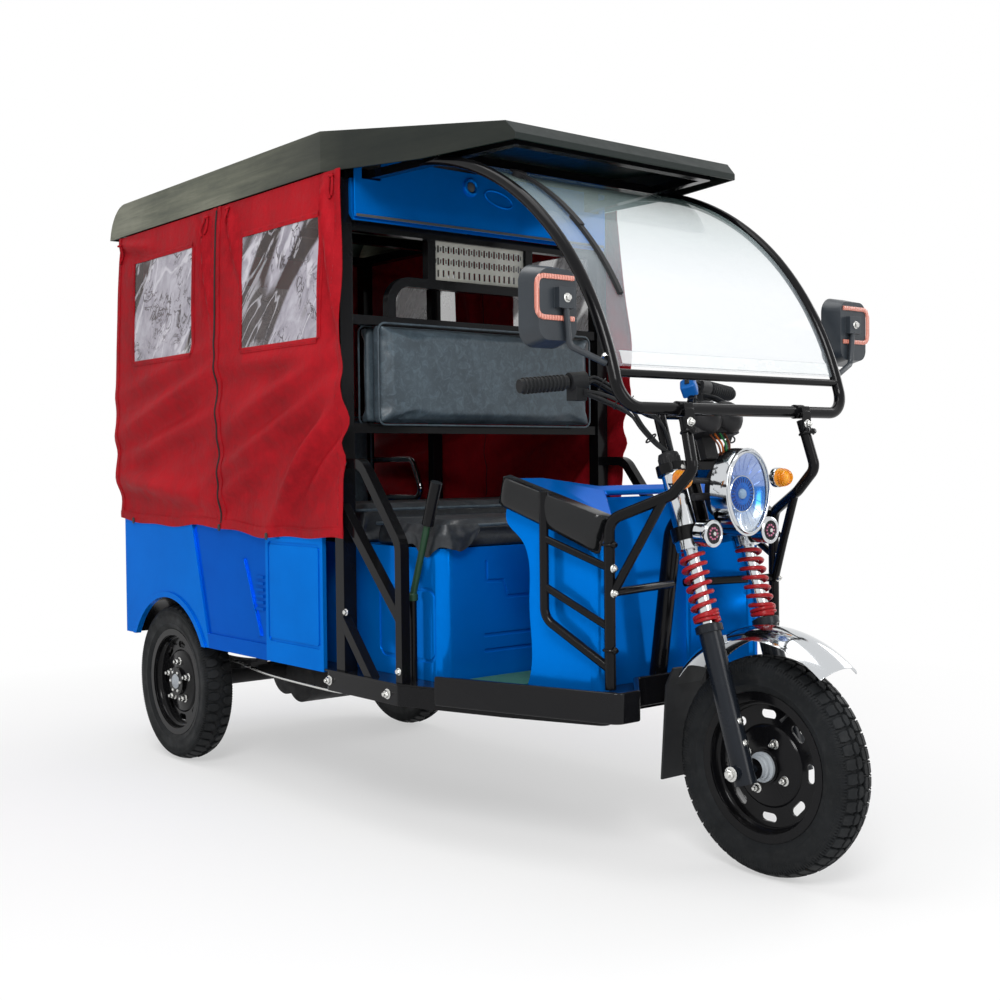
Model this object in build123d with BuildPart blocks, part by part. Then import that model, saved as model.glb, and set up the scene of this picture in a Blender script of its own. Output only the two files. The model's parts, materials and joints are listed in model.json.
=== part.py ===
"""Electric three-wheeled auto rickshaw, built as separate parts in one frame.

Millimetres. +X is forward, +Y is the vehicle's left, +Z is up. The origin is on the ground under the middle of
the vehicle's length.
"""

import os
from math import atan2, cos, degrees, hypot, radians, sin, sqrt, tan

from build123d import *

os.makedirs("parts", exist_ok=True)

# Main sizes
wheel_base = 2056.0
tyre_radius = 252.0
tyre_width = 96.0
rear_track = 880.0
rear_overhang = 384.0
rear_axle_x = -(wheel_base + tyre_radius - rear_overhang) / 2
front_axle_x = rear_axle_x + wheel_base

# Heights
frame_low = 345.0
floor_low = 395.0
floor_top = 400.0
sill_low = 391.0
panel_top = 790.0
seat_top = 735.0
roof_low = 1722.0
roof_high = 1830.0
rail_low = 1704.0
rail_high = 1734.0

# Widths, measured from the middle of the vehicle
body_half = 499.0
wall = 12.0
roof_half = body_half + 7.0
roof_skin = 6.0
visor_half = roof_half - 120.0
inner_half = body_half - wall

# Stations along the vehicle
tail_x = rear_axle_x - 314.0
roof_tail_x = rear_axle_x - rear_overhang
rear_post_x = rear_axle_x - 278.0
mid_post_x = rear_axle_x + 160.0
mid_rail_x = rear_axle_x + 352.0
bench_top = 650.0
front_post_x = rear_axle_x + 1005.0
panel_front_x = rear_axle_x + 942.0
guard_x = rear_axle_x + 1280.0
seat_front_x = rear_axle_x + 1350.0
roof_bend_x = rear_axle_x + 970.0
visor_x = rear_axle_x + 1628.0
nose_x = rear_axle_x + 1840.0
notch_x = rear_axle_x + 1748.0

# Steering
rake = 17.3
axis_setback = 47.0
leg_half = 100.0


def box(x_low, x_high, y_low, y_high, z_low, z_high, mode=Mode.ADD):
    """Adds a plain block to the part being built, or cuts one from it."""
    middle = ((x_low + x_high) / 2, (y_low + y_high) / 2, (z_low + z_high) / 2)
    with Locations(middle):
        Box(x_high - x_low, y_high - y_low, z_high - z_low, mode=mode)


def rod(start, end, radius, mode=Mode.ADD):
    """Adds a straight round bar between two points to the part being built."""
    run = Vector(*end) - Vector(*start)
    with BuildSketch(Plane(start, z_dir=run)) as section:
        Circle(radius)
    extrude(to_extrude=section.sketch, amount=run.length, mode=mode)


def bent_tube(points, bend, radius):
    """Adds a round tube along straight runs that are joined by arcs to the part being built."""
    with BuildLine() as route:
        FilletPolyline(*points, radius=bend)
    with BuildSketch(Plane(route.line @ 0, z_dir=route.line % 0)) as section:
        Circle(radius)
    sweep(sections=section.sketch, path=route.line)


def strips(table, width):
    """Adds flat round-ended strips between pairs of plan points to the sketch being built."""
    for x_start, y_start, x_end, y_end in table:
        run = hypot(x_end - x_start, y_end - y_start)
        turn = degrees(atan2(y_end - y_start, x_end - x_start))
        with Locations(((x_start + x_end) / 2, (y_start + y_end) / 2)):
            SlotCenterToCenter(run, width, rotation=turn)


def save(builder, name):
    """Names the finished part and writes it."""
    builder.part.label = name
    export_step(builder.part, f"parts/{name}.step")


# Chassis ladder: one level of rails and cross members
tow_hole_radius = 9.0
rail_half = rear_track / 2 - 140.0
rail_width = 40.0
step_half = body_half - rail_width / 2 - 2
knee_x = rear_axle_x + 1570.0
knee_half = body_half - 119.0
corner_half = body_half - 214.0
neck_foot_x = rear_axle_x + 1700.0
# x_start, y_start, x_end, y_end
side_rails = [
    (tail_x + 40, rail_half, guard_x, rail_half),
    (guard_x, rail_half, neck_foot_x, 130.0),
    (panel_front_x + 22, step_half, guard_x, step_half),
    (guard_x, step_half, knee_x, knee_half),
    (knee_x, knee_half, nose_x - 45, corner_half),
]
# x, half width
cross_rails = [
    (tail_x + 40, rail_half),
    (mid_rail_x, rail_half),
    (front_post_x, step_half),
    (guard_x, step_half),
    (knee_x, knee_half),
    (neck_foot_x, 130.0),
]
# Bumper round the front of the floor
bumper_skin = 14.0
bumper_high = 430.0
bumper_low = 358.0
bumper_run = [
    (guard_x + 120, body_half - 34),
    (knee_x + 6, knee_half + 28),
    (nose_x + 34, corner_half + 26),
    (nose_x + 34, corner_half - 36),
    (notch_x - 4, 122.0),
]
with BuildPart() as front_bumper:
    with BuildSketch(Plane.XY.offset(bumper_low)):
        with BuildLine():
            FilletPolyline(
                *[(x, -y) for x, y in bumper_run], *reversed(bumper_run), radius=[
                    16, 20, 12, 20, 20, 12, 20, 16
                ]
            )
        trace(line_width=bumper_skin)
    extrude(amount=bumper_high - bumper_low)
save(front_bumper, "front_bumper")

with BuildPart() as chassis_frame:
    with BuildSketch(Plane.XY.offset(frame_low)):
        for side in (-1, 1):
            strips([(x1, side * y1, x2, side * y2) for x1, y1, x2, y2 in side_rails], rail_width)
        strips([(x, -half, x, half) for x, half in cross_rails], rail_width)
    extrude(amount=floor_low - frame_low)
    add(front_bumper.part, mode=Mode.SUBTRACT)
    with Locations((tail_x + 40, 0, floor_low)):
        Hole(tow_hole_radius)
save(chassis_frame, "chassis_frame")

# Floor sheet with wells for the rear wheels and a notch for the front wheel
well_half = 240.0
well_in = rear_track / 2 - tyre_width / 2 - 20
floor_outline = [
    (tail_x + wall + 2, inner_half - 1),
    (rear_axle_x - well_half, inner_half - 1),
    (rear_axle_x - well_half, well_in),
    (rear_axle_x + well_half, well_in),
    (rear_axle_x + well_half, inner_half - 1),
    (panel_front_x, inner_half - 1),
    (panel_front_x, body_half - 2),
    (guard_x, body_half - 2),
    (knee_x, knee_half + 20),
    (nose_x + 26, corner_half + 16),
    (nose_x + 26, corner_half - 30),
    (notch_x - 12, 120.0),
]
with BuildPart() as floor_pan:
    with BuildSketch(Plane.XY.offset(floor_low)):
        with BuildLine():
            Polyline(*floor_outline, *[(x, -y) for x, y in reversed(floor_outline)], close=True)
        make_face()
    extrude(amount=floor_top - floor_low)
    add(front_bumper.part, mode=Mode.SUBTRACT)
save(floor_pan, "floor_pan")

# Arched housings over the rear wheels
housing_inner = tyre_radius + 28
housing_skin = 8.0
with BuildPart() as wheel_housings:
    with BuildSketch(Plane.XZ.offset(well_in - 8)):
        with Locations((rear_axle_x, tyre_radius)):
            Circle(housing_inner + housing_skin)
        with Locations((rear_axle_x, floor_top - 400)):
            Rectangle(900, 800, mode=Mode.SUBTRACT)
    extrude(amount=inner_half - 1 - well_in + 8)
    with BuildSketch(Plane.XZ.offset(well_in)):
        with Locations((rear_axle_x, tyre_radius)):
            Circle(housing_inner)
    extrude(amount=inner_half, mode=Mode.SUBTRACT)
    mirror(about=Plane.XZ)
save(wheel_housings, "wheel_housings")

# Body sides: quarter panels, front side panels and the infill of the right doorway
arch_radius = 272.0
arch_x = rear_axle_x + 7
arch_z = 256.0
ridge_low_x = rear_axle_x + 285.0
ridge_high_x = rear_axle_x + 174.0
door_x = rear_axle_x + 636.0
lip_width = 18.0
lip_depth = 6.0
with BuildPart() as quarter_panels:
    with BuildSketch(Plane.XZ.offset(inner_half)):
        with BuildLine():
            Polyline(
                (tail_x, sill_low),
                (ridge_low_x, sill_low),
                (ridge_high_x, panel_top),
                (tail_x, panel_top),
                close=True,
            )
        make_face()
        with Locations((arch_x, arch_z)):
            Circle(arch_radius, mode=Mode.SUBTRACT)
    extrude(amount=wall)
    with BuildSketch(Plane.XZ.offset(body_half)):
        with Locations((arch_x, arch_z)):
            Circle(arch_radius + lip_width)
            Circle(arch_radius, mode=Mode.SUBTRACT)
        with Locations((arch_x, sill_low - 400)):
            Rectangle(900, 800, mode=Mode.SUBTRACT)
    extrude(amount=lip_depth)
    mirror(about=Plane.XZ)
save(quarter_panels, "quarter_panels")

panel_inset = 28.0
groove = 9.0
with BuildPart() as front_side_panels:
    box(door_x, panel_front_x, -body_half, -inner_half, sill_low, panel_top)
    panel_mid = ((door_x + panel_front_x) / 2, (450.0 + 734.0) / 2)
    with BuildSketch(Plane.XZ.offset(body_half)):
        with Locations(panel_mid):
            RectangleRounded(panel_front_x - door_x - panel_inset, 284.0, 14.0)
            RectangleRounded(
                panel_front_x - door_x - panel_inset - 2 * groove,
                284.0 - 2 * groove,
                8.0,
                mode=Mode.SUBTRACT
            )
    extrude(amount=-4.0, mode=Mode.SUBTRACT)
    mirror(about=Plane.XZ)
save(front_side_panels, "front_side_panels")

infill_depth = 8.0
infill_skin = 4.6
infill_face = body_half - infill_depth
infill_sill = 436.0
sill_x = ridge_low_x + (ridge_high_x - ridge_low_x) * (infill_sill - sill_low) / (panel_top - sill_low)
louvre_x = door_x - 42.0
rib_width = 16.0
rib_top_x = door_x - 147.0
with BuildPart() as doorway_infill:
    with BuildSketch(Plane.XZ.offset(infill_face - infill_skin)):
        with BuildLine():
            Polyline(
                (ridge_low_x, sill_low),
                (door_x, sill_low),
                (door_x, panel_top),
                (ridge_high_x, panel_top),
                close=True,
            )
        make_face()
    extrude(amount=infill_skin)
    with BuildSketch(Plane.XZ.offset(infill_face)):
        with BuildLine():
            Polyline(
                (
                    ridge_low_x, sill_low
                ), (door_x, sill_low), (door_x, infill_sill), (sill_x, infill_sill), close=True
            )
        make_face()
    extrude(amount=infill_depth)
    with BuildSketch(Plane.XZ.offset(infill_face)):
        with BuildLine():
            Polyline(
                (rib_top_x, panel_top - 114),
                (rib_top_x + rib_width, panel_top - 114),
                (door_x - 37, infill_sill + 20),
                (door_x - 37 - rib_width, infill_sill + 20),
                close=True,
            )
        make_face()
    extrude(amount=6.0)
    with BuildSketch(Plane.XZ.offset(infill_face)):
        with Locations((louvre_x, 581.0)):
            with GridLocations(1, 18.4, 1, 6):
                Rectangle(42, 9)
    extrude(amount=5.0)
save(doorway_infill, "doorway_infill")

# Tail panel and lamps
tail_press_width = 560.0
tail_press_height = 250.0
tail_press_depth = 4.0
lamp_span = body_half - 99.0
plate_z = 590.0
plate_spacing = 220.0
plate_hole_radius = 3.5
with BuildPart() as tail_panel:
    box(tail_x, tail_x + wall, -inner_half + 0.5, inner_half - 0.5, sill_low, panel_top)
    with BuildSketch(Plane((tail_x, 0, plate_z), x_dir=(0, -1, 0), z_dir=(-1, 0, 0))):
        RectangleRounded(tail_press_width, tail_press_height, 30)
    extrude(amount=-tail_press_depth, mode=Mode.SUBTRACT)
    with BuildSketch(Plane((tail_x, 0, plate_z), x_dir=(0, -1, 0), z_dir=(-1, 0, 0))):
        with GridLocations(plate_spacing, 1, 2, 1):
            Circle(plate_hole_radius)
    extrude(amount=-wall, mode=Mode.SUBTRACT)
save(tail_panel, "tail_panel")

with BuildPart() as tail_lamps:
    for side in (-1, 1):
        with BuildSketch(
            Plane((tail_x, side * lamp_span, plate_z + 50), x_dir=(0, -1, 0), z_dir=(-1, 0, 0))
        ):
            RectangleRounded(90, 170, 18)
        extrude(amount=24.0)
save(tail_lamps, "tail_lamps")

# Cabin frame: pillars, roof rails, bows and the visor's bars
post = 40.0
post_y = body_half - 34.0
post_in = post_y - post / 2
visor_taper = (roof_half - visor_half) / (visor_x - roof_bend_x)
screen_half = 390.0
screen_x = rear_axle_x + 1183.0
screen_z = 919.0
screen_radius = rail_low - screen_z + 15.0
screen_head_x = screen_x + screen_radius * cos(radians(78.6))
bar_rear = visor_half + 14
bar_front = visor_half - 51
head_half = max(screen_half, bar_rear - 10)
with BuildPart() as cabin_frame:
    # station, width along the vehicle, foot
    for x, width, foot in (
        (rear_post_x, post, floor_top),
        (mid_post_x, 30.0, bench_top),
        (front_post_x, post, floor_top),
    ):
        for side in (-1, 1):
            box(
                x - width / 2,
                x + width / 2,
                side * post_y - post / 2,
                side * post_y + post / 2,
                foot,
                rail_low
            )
        box(x - width / 2, x + width / 2, -post_y, post_y, rail_low, rail_high)
        bow_half = roof_half - roof_skin - visor_taper * max(0.0, x + width / 2 - roof_bend_x)
        box(x - width / 2, x + width / 2, -bow_half, bow_half, roof_low + 2, rail_high)
    for side in (-1, 1):
        box(
            rear_post_x,
            front_post_x,
            side * post_y - post / 2,
            side * post_y + post / 2,
            rail_low,
            rail_high
        )
    with BuildSketch(Plane.XY.offset(rail_low)):
        for side in (-1, 1):
            strips([(front_post_x, side * bar_rear, visor_x - 60, side * bar_front)], 26.0)
        strips([(visor_x - 60, -bar_front, visor_x - 60, bar_front)], 26.0)
        strips([(screen_head_x, -head_half, screen_head_x, head_half)], 34.0)
    extrude(amount=22.0)
save(cabin_frame, "cabin_frame")

# Roof shell with its sloping visor
visor_top = 1750.0
visor_low = 1702.0
visor_bend_x = rear_axle_x + 1326.0


def roof_block(inset, drop):
    """Builds the roof's block, moved in by the inset and carried down below its lower edge by the drop."""
    tail = roof_tail_x + inset
    front = visor_x - inset
    with BuildPart() as block:
        with BuildSketch(Plane.XZ.offset(-roof_half + inset)):
            with BuildLine():
                tip = Line((tail, roof_low - drop), (tail + 4, roof_low + 14))
                curve = ThreePointArc(
                    tip @ 1, (tail + 44 - inset * 0.3, roof_low + 78 - inset * 0.7), (
                        tail + 114, roof_high - inset
                    )
                )
                crown = Line(curve @ 1, (roof_bend_x, roof_high - inset))
                slope = Line(crown @ 1, (front - 30, visor_top - inset))
                brow = Line(slope @ 1, (front, visor_top - 32 - inset))
                lip = Line(brow @ 1, (front, visor_low - drop))
                under = Line(lip @ 1, (visor_bend_x, visor_low - drop))
                rise = Line(under @ 1, (roof_bend_x, roof_low - drop))
                Line(rise @ 1, tip @ 0)
            make_face()
        extrude(amount=2 * (roof_half - inset))
        for side in (-1, 1):
            with BuildSketch(Plane.XY.offset(roof_low - 200)):
                with BuildLine():
                    Polyline(
                        (roof_bend_x, side * (roof_half - inset)),
                        (visor_x, side * (visor_half - inset)),
                        (visor_x, side * (roof_half + 40)),
                        (roof_bend_x, side * (roof_half + 40)),
                        close=True,
                    )
                make_face()
            extrude(amount=400, mode=Mode.SUBTRACT)
    return block.part


with BuildPart() as roof_shell:
    add(roof_block(0.0, 0.0))
    add(roof_block(roof_skin, 40.0), mode=Mode.SUBTRACT)
save(roof_shell, "roof_shell")

# Rear bench, seat box, batteries and cushions
bench_front_x = rear_axle_x + 269.0
with BuildPart() as rear_bench:
    box(bench_front_x - wall, bench_front_x, -inner_half + 1, inner_half - 1, floor_top, bench_top - 10)
    box(tail_x + wall + 1, bench_front_x, -inner_half + 1, inner_half - 1, bench_top - 10, bench_top)
    for side in (-1, 1):
        y_mid = side * post_y
        box(
            rear_post_x - 25,
            rear_post_x + 20.3,
            y_mid - 20.3,
            y_mid + 25,
            floor_top,
            bench_top,
            mode=Mode.SUBTRACT
        )
save(rear_bench, "rear_bench")

seat_half = body_half - 89.0
seat_rear_x = rear_axle_x + 626.0
box_skin = 10.0
press_half = 272.0
press_line = 9.0
press_depth = 3.0
# Pressed step line on the front of the seat box: across, height
press_steps = [
    (press_half - 10, seat_top - 36),
    (press_half - 10, seat_top - 88),
    (press_half - 64, seat_top - 90),
    (press_half - 78, seat_top - 132),
]
with BuildPart() as seat_box:
    with BuildSketch(Plane.XY.offset(floor_top)) as seat_plan:
        with Locations(((seat_rear_x + seat_front_x) / 2, 0)):
            RectangleRounded(seat_front_x - seat_rear_x, 2 * seat_half, 40.0)
    extrude(amount=seat_top - floor_top)
    with BuildSketch(Plane.XY.offset(floor_top)):
        with Locations(((seat_rear_x + seat_front_x) / 2, 0)):
            RectangleRounded(seat_front_x - seat_rear_x - 2 * box_skin, 2 * (seat_half - box_skin), 30.0)
    extrude(amount=seat_top - floor_top - box_skin, mode=Mode.SUBTRACT)
    with BuildSketch(Plane((seat_front_x, 0, 0), x_dir=(0, 1, 0), z_dir=(1, 0, 0))):
        for height in (seat_top - 227, seat_top - 267):
            with Locations((0, height)):
                SlotOverall(press_half * 2, press_line)
        with BuildLine():
            Polyline(*[(-y, z) for y, z in press_steps], *reversed(press_steps))
        trace(line_width=press_line)
    extrude(amount=-press_depth, mode=Mode.SUBTRACT)
    for side in (-1, 1):
        with BuildSketch(
            Plane((front_post_x + 200, side * seat_half, 540.0), x_dir=(1, 0, 0), z_dir=(0, side, 0))
        ):
            RectangleRounded(250, 190, 30)
            RectangleRounded(
                250 - 2 * press_line, 190 - 2 * press_line, 30 - press_line, mode=Mode.SUBTRACT
            )
        extrude(amount=-press_depth, mode=Mode.SUBTRACT)
save(seat_box, "seat_box")

with BuildPart() as battery_pack:
    box(seat_rear_x + 60, seat_front_x - 130, -300, 300, floor_top, 620.0)
save(battery_pack, "battery_pack")

cushion_half = seat_half - 8
driver_pad = 70.0
facing_pad = 103.0
# x_low, x_high, half_width, z_low, z_high
cushion_table = [
    (front_post_x + 30, seat_front_x + 8, cushion_half, seat_top, seat_top + driver_pad),
    (seat_rear_x - 6, front_post_x - 24, cushion_half, seat_top, seat_top + facing_pad),
]
with BuildPart() as front_cushions:
    for x_low, x_high, half, z_low, z_high in cushion_table:
        box(x_low, x_high, -half, half, z_low, z_high)
    fillet(front_cushions.edges().filter_by(Axis.Z), radius=25.0)
    fillet(front_cushions.faces().filter_by(lambda face: face.normal_at().Z > 0.9).edges(), radius=20.0)
save(front_cushions, "front_cushions")

rear_pad_half = post_in - 9
rear_pad = 90.0
rear_back = 480.0
rear_back_x = rear_post_x + 24
rear_split_x = rear_back_x + 72
with BuildPart() as rear_cushions:
    box(rear_split_x, bench_front_x + 10, -rear_pad_half, rear_pad_half, bench_top, bench_top + rear_pad)
    box(rear_back_x, rear_split_x - 2, -rear_pad_half, rear_pad_half, bench_top, bench_top + rear_back)
    fillet(rear_cushions.edges().filter_by(Axis.X), radius=24.0)
save(rear_cushions, "rear_cushions")

# Arm rests at both ends of the rear bench
arm_radius = 11.0
arm_y = post_in + 7
arm_low = bench_top + 176.0
arm_high = bench_top + 316.0
arm_root_x = rear_post_x + post / 2
with BuildPart() as rear_armrests:
    for side in (-1, 1):
        bent_tube(
            [
                (arm_root_x, side * arm_y, arm_high),
                (rear_axle_x + 40, side * arm_y, arm_high),
                (rear_axle_x + 104, side * arm_y, arm_low),
                (arm_root_x, side * arm_y, arm_low),
            ],
            34.0,
            arm_radius,
        )
save(rear_armrests, "rear_armrests")

# Partition behind the driver: bars, padded backrests, mesh and overhead panel
bar = 26.0
partition_x = front_post_x
mesh_half = 165.0
mesh_low = 1460.0
mesh_high = 1570.0
back_bars = (1045.0, 1335.0)
with BuildPart() as partition_frame:
    for z in (*back_bars, mesh_high + bar / 2):
        box(partition_x - bar / 2, partition_x + bar / 2, -post_in, post_in, z - bar / 2, z + bar / 2)
save(partition_frame, "partition_frame")

with BuildPart() as partition_hoop:
    hoop_half = 314.0
    hoop_z = mesh_low - bar / 2
    hoop_low = back_bars[1] + bar / 2
    with BuildSketch(Plane((partition_x - bar / 2, 0, 0), x_dir=(0, 1, 0), z_dir=(1, 0, 0))):
        with BuildLine():
            FilletPolyline(
                (
                    -hoop_half, hoop_low
                ), (-hoop_half, hoop_z), (hoop_half, hoop_z), (hoop_half, hoop_low), radius=60
            )
        trace(line_width=bar)
    extrude(amount=bar)
    for side in (-1, 1):
        y_mid = side * (mesh_half + bar / 2)
        box(
            partition_x - bar / 2, partition_x + bar / 2, y_mid - bar / 2, y_mid + bar / 2, hoop_z, mesh_high
        )
save(partition_hoop, "partition_hoop")

with BuildPart() as partition_mesh:
    box(partition_x - 1.5, partition_x + 1.5, -mesh_half, mesh_half, mesh_low, mesh_high)
    mesh_mid = (mesh_low + mesh_high) / 2
    with BuildSketch(Plane((partition_x + 1.5, 0, mesh_mid), x_dir=(0, 1, 0), z_dir=(1, 0, 0))):
        with GridLocations(18.4, 34.0, 17, 3):
            Rectangle(7, 20)
        with Locations((0, 17.0)):
            with GridLocations(18.4, 34.0, 18, 2):
                Rectangle(5, 12)
    extrude(amount=-3.0, mode=Mode.SUBTRACT)
save(partition_mesh, "partition_mesh")

pad_low = back_bars[0] + 14
pad_high = back_bars[1] - 14
pad_depth = 48.0
back_half = post_in - 55
with BuildPart() as partition_backrests:
    for near, far in ((bar / 2, bar / 2 + pad_depth), (-bar / 2 - pad_depth, -bar / 2)):
        box(partition_x + near, partition_x + far, -back_half, back_half, pad_low - 10, pad_high + 10)
    fillet(partition_backrests.edges().filter_by(Axis.X), radius=22.0)
save(partition_backrests, "partition_backrests")

panel_low = 1592.0
overhead_half = post_y - 10
with BuildPart() as overhead_panel:
    with BuildSketch(Plane.XZ.offset(-overhead_half)):
        with BuildLine():
            face_x = front_post_x + post / 2 + 0.3
            Polyline(
                (face_x, rail_low - 0.5),
                (face_x, panel_low + 18),
                (face_x + 16, panel_low),
                (face_x + 24, panel_low),
                (face_x + 12, panel_low + 26),
                (face_x + 12, rail_low - 0.5),
                close=True,
            )
        make_face()
    extrude(amount=2 * overhead_half)
    with BuildSketch(Plane((face_x + 12, -20, 1660.0), x_dir=(0, 1, 0), z_dir=(1, 0, 0))):
        Circle(26)
    extrude(amount=12.0, taper=12)
save(overhead_panel, "overhead_panel")

# Side guards beside the driver's seat
guard_tube = 26.0
guard_out = body_half - 9.0
with BuildPart() as side_guards:
    post_face = front_post_x + post / 2
    with BuildSketch(Plane.XZ.offset(guard_out - guard_tube)):
        with BuildLine():
            FilletPolyline(
                (post_face, 951.0), (
                    guard_x - 168, 951.0
                ), (guard_x, 748.0), (guard_x, floor_top), radius=55
            )
        trace(line_width=guard_tube)
        with BuildLine():
            Line((post_face - 10, 838.0), (guard_x, 560.0))
        trace(line_width=guard_tube)
        with BuildLine():
            Line((post_face - 10, 540.0), (post_face + 128, floor_top - 14))
        trace(line_width=guard_tube)
        with Locations((post_face - 50, 700.0)):
            Rectangle(100, 800, mode=Mode.SUBTRACT)
        with Locations((post_face + 100, floor_top - 50)):
            Rectangle(400, 100, mode=Mode.SUBTRACT)
    extrude(amount=guard_tube)
    mirror(about=Plane.XZ)
save(side_guards, "side_guards")

# Curtains and their clear windows
cloth_in = body_half + 0.4
cloth = 3.0
film = 1.4
cloth_top = roof_low - 2
hem_rear = 770.0
hem_front = 745.0
cloth_rear_x = rear_axle_x - 328.0
cloth_front_x = rear_axle_x + 1057.0
cloth_split_x = rear_axle_x + 386.0
split_gap = 3.0
# x_low, x_high, z_low, z_high
window_table = [
    (rear_axle_x - 188, rear_axle_x + 232, 1295.0, 1622.0),
    (rear_axle_x + 545, rear_axle_x + 952, 1286.0, 1610.0),
]
hem_fall = (hem_front - hem_rear) / (cloth_front_x - cloth_rear_x)


def hem(x):
    """Height of the side curtains' lower edge at a station."""
    return hem_rear + hem_fall * (x - cloth_rear_x)


with BuildPart() as side_curtains:
    for x_low, x_high in (
        (cloth_rear_x, cloth_split_x - split_gap), (cloth_split_x + split_gap, cloth_front_x)
    ):
        with BuildSketch(Plane.XZ.offset(cloth_in)):
            with BuildLine():
                Polyline(
                    (x_low, hem(x_low)),
                    (x_high, hem(x_high)),
                    (x_high, cloth_top),
                    (x_low, cloth_top),
                    close=True
                )
            make_face()
            for w_x_low, w_x_high, w_low, w_high in window_table:
                with Locations(((w_x_low + w_x_high) / 2, (w_low + w_high) / 2)):
                    Rectangle(w_x_high - w_x_low, w_high - w_low, mode=Mode.SUBTRACT)
        extrude(amount=cloth)
    mirror(about=Plane.XZ)
save(side_curtains, "side_curtains")

back_window = (280.0, 1230.0, 1600.0)
back_cloth_x = tail_x - 0.4
back_cloth_half = body_half - 2
with BuildPart() as rear_curtain:
    box(back_cloth_x - cloth, back_cloth_x, -back_cloth_half, back_cloth_half, hem_rear, cloth_top)
    half, w_low, w_high = back_window
    box(back_cloth_x - cloth, back_cloth_x, -half, half, w_low, w_high, mode=Mode.SUBTRACT)
save(rear_curtain, "rear_curtain")

with BuildPart() as curtain_windows:
    y_low = cloth_in + (cloth - film) / 2
    for w_x_low, w_x_high, w_low, w_high in window_table:
        box(w_x_low, w_x_high, -y_low - film, -y_low, w_low, w_high)
    mirror(about=Plane.XZ)
    half, w_low, w_high = back_window
    x_film = back_cloth_x - (cloth - film) / 2
    box(x_film - film, x_film, -half, half, w_low, w_high)
save(curtain_windows, "curtain_windows")

# Windscreen: arched tubes, lower loop, glass and wiper
screen_tube = 14.0
screen_low_deg = 16.0


def on_screen(angle, radius=screen_radius):
    """Point of the screen's side arc at an angle above level."""
    return (screen_x + radius * cos(radians(angle)), screen_z + radius * sin(radians(angle)))


low_x, low_z = on_screen(screen_low_deg)
loop_drop = 76.0
loop_x = low_x + loop_drop * tan(radians(screen_low_deg))
loop_z = low_z - loop_drop
with BuildPart() as windscreen_frame:
    for side in (-1, 1):
        arc_points = [on_screen(angle) for angle in (84.0, 50.0, screen_low_deg)]
        with BuildLine() as arch:
            ThreePointArc(*[(x, side * screen_half, z) for x, z in arc_points])
        with BuildSketch(Plane(arch.line @ 0, z_dir=arch.line % 0)) as section:
            Circle(screen_tube)
        sweep(sections=section.sketch, path=arch.line)
    bent_tube(
        [
            (low_x, -screen_half, low_z),
            (loop_x, -screen_half, loop_z),
            (loop_x, screen_half, loop_z),
            (low_x, screen_half, low_z),
        ],
        60.0,
        screen_tube,
    )
    rod((low_x, -screen_half, low_z), (low_x, screen_half, low_z), 9.0)
    split(bisect_by=Plane.XY.offset(rail_low), keep=Keep.BOTTOM)
save(windscreen_frame, "windscreen_frame")

glass_half = screen_half - screen_tube - 0.4


def screen_band(angles, inner, outer, y_low, y_high):
    """Adds a band that follows the screen's arc to the part being built."""
    start, end = angles
    middle = (start + end) / 2
    with BuildSketch(Plane.XZ.offset(-y_high)) as section:
        with BuildLine():
            outside = ThreePointArc(
                on_screen(start, outer), on_screen(middle, outer), on_screen(end, outer)
            )
            inside = ThreePointArc(
                on_screen(start, inner), on_screen(middle, inner), on_screen(end, inner)
            )
            Line(outside @ 0, inside @ 0)
            Line(outside @ 1, inside @ 1)
        make_face()
    extrude(to_extrude=section.sketch, amount=y_high - y_low)


with BuildPart() as windscreen_glass:
    screen_band((17.2, 77.6), screen_radius - 2, screen_radius + 2, -glass_half, glass_half)
save(windscreen_glass, "windscreen_glass")

with BuildPart() as wiper:
    screen_band((45.0, 66.0), screen_radius + 8, screen_radius + 14, -306.0, -290.0)
    screen_band((30.0, 48.0), screen_radius + 2.4, screen_radius + 11, -304.0, -292.0)
    pivot_x, pivot_z = on_screen(64.0, screen_radius + 2.4)
    tip_x, tip_z = on_screen(64.0, screen_radius + 16)
    rod((pivot_x, -298.0, pivot_z), (tip_x, -298.0, tip_z), 17.0)
save(wiper, "wiper")

# Mirrors on the windscreen frame
mirror_x = rear_axle_x + 1883.0
mirror_y = screen_half + 124.0
mirror_z = 1280.0
foot_x, foot_z = on_screen(17.5)
with BuildPart() as mirror_heads:
    with BuildSketch(Plane((mirror_x - 22, -mirror_y, mirror_z), x_dir=(0, 1, 0), z_dir=(1, 0, 0))):
        RectangleRounded(132, 176, 40)
    extrude(amount=52.0, taper=14)
    bent_tube(
        [
            (foot_x - 4, -screen_half - screen_tube - 0.4, foot_z),
            (mirror_x + 38, -mirror_y + 24, mirror_z - 86),
            (mirror_x + 38, -mirror_y + 14, mirror_z + 4),
        ],
        18.0,
        7.0,
    )
    with Locations((mirror_x + 37, -mirror_y + 12, mirror_z + 14)):
        Box(18, 44, 44)
    mirror(about=Plane.XZ)
    add(windscreen_frame.part, mode=Mode.SUBTRACT)
save(mirror_heads, "mirror_heads")

with BuildPart() as mirror_glasses:
    with BuildSketch(Plane((mirror_x - 22, -mirror_y, mirror_z), x_dir=(0, 1, 0), z_dir=(1, 0, 0))):
        RectangleRounded(118, 162, 34)
    extrude(amount=-3.0)
    mirror(about=Plane.XZ)
save(mirror_glasses, "mirror_glasses")

# Steering axis and the fork's own plane, whose origin is the front axle
lean = tan(radians(rake))
fork = Plane(
    (front_axle_x, 0, tyre_radius),
    x_dir=(cos(radians(rake)), 0, sin(radians(rake))),
    z_dir=(-sin(radians(rake)), 0, cos(radians(rake))),
)


def fork_point(ahead, across, up):
    """Point given in the fork's plane, as a point of the vehicle."""
    return fork.from_local_coords(Vector(ahead, across, up))


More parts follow.
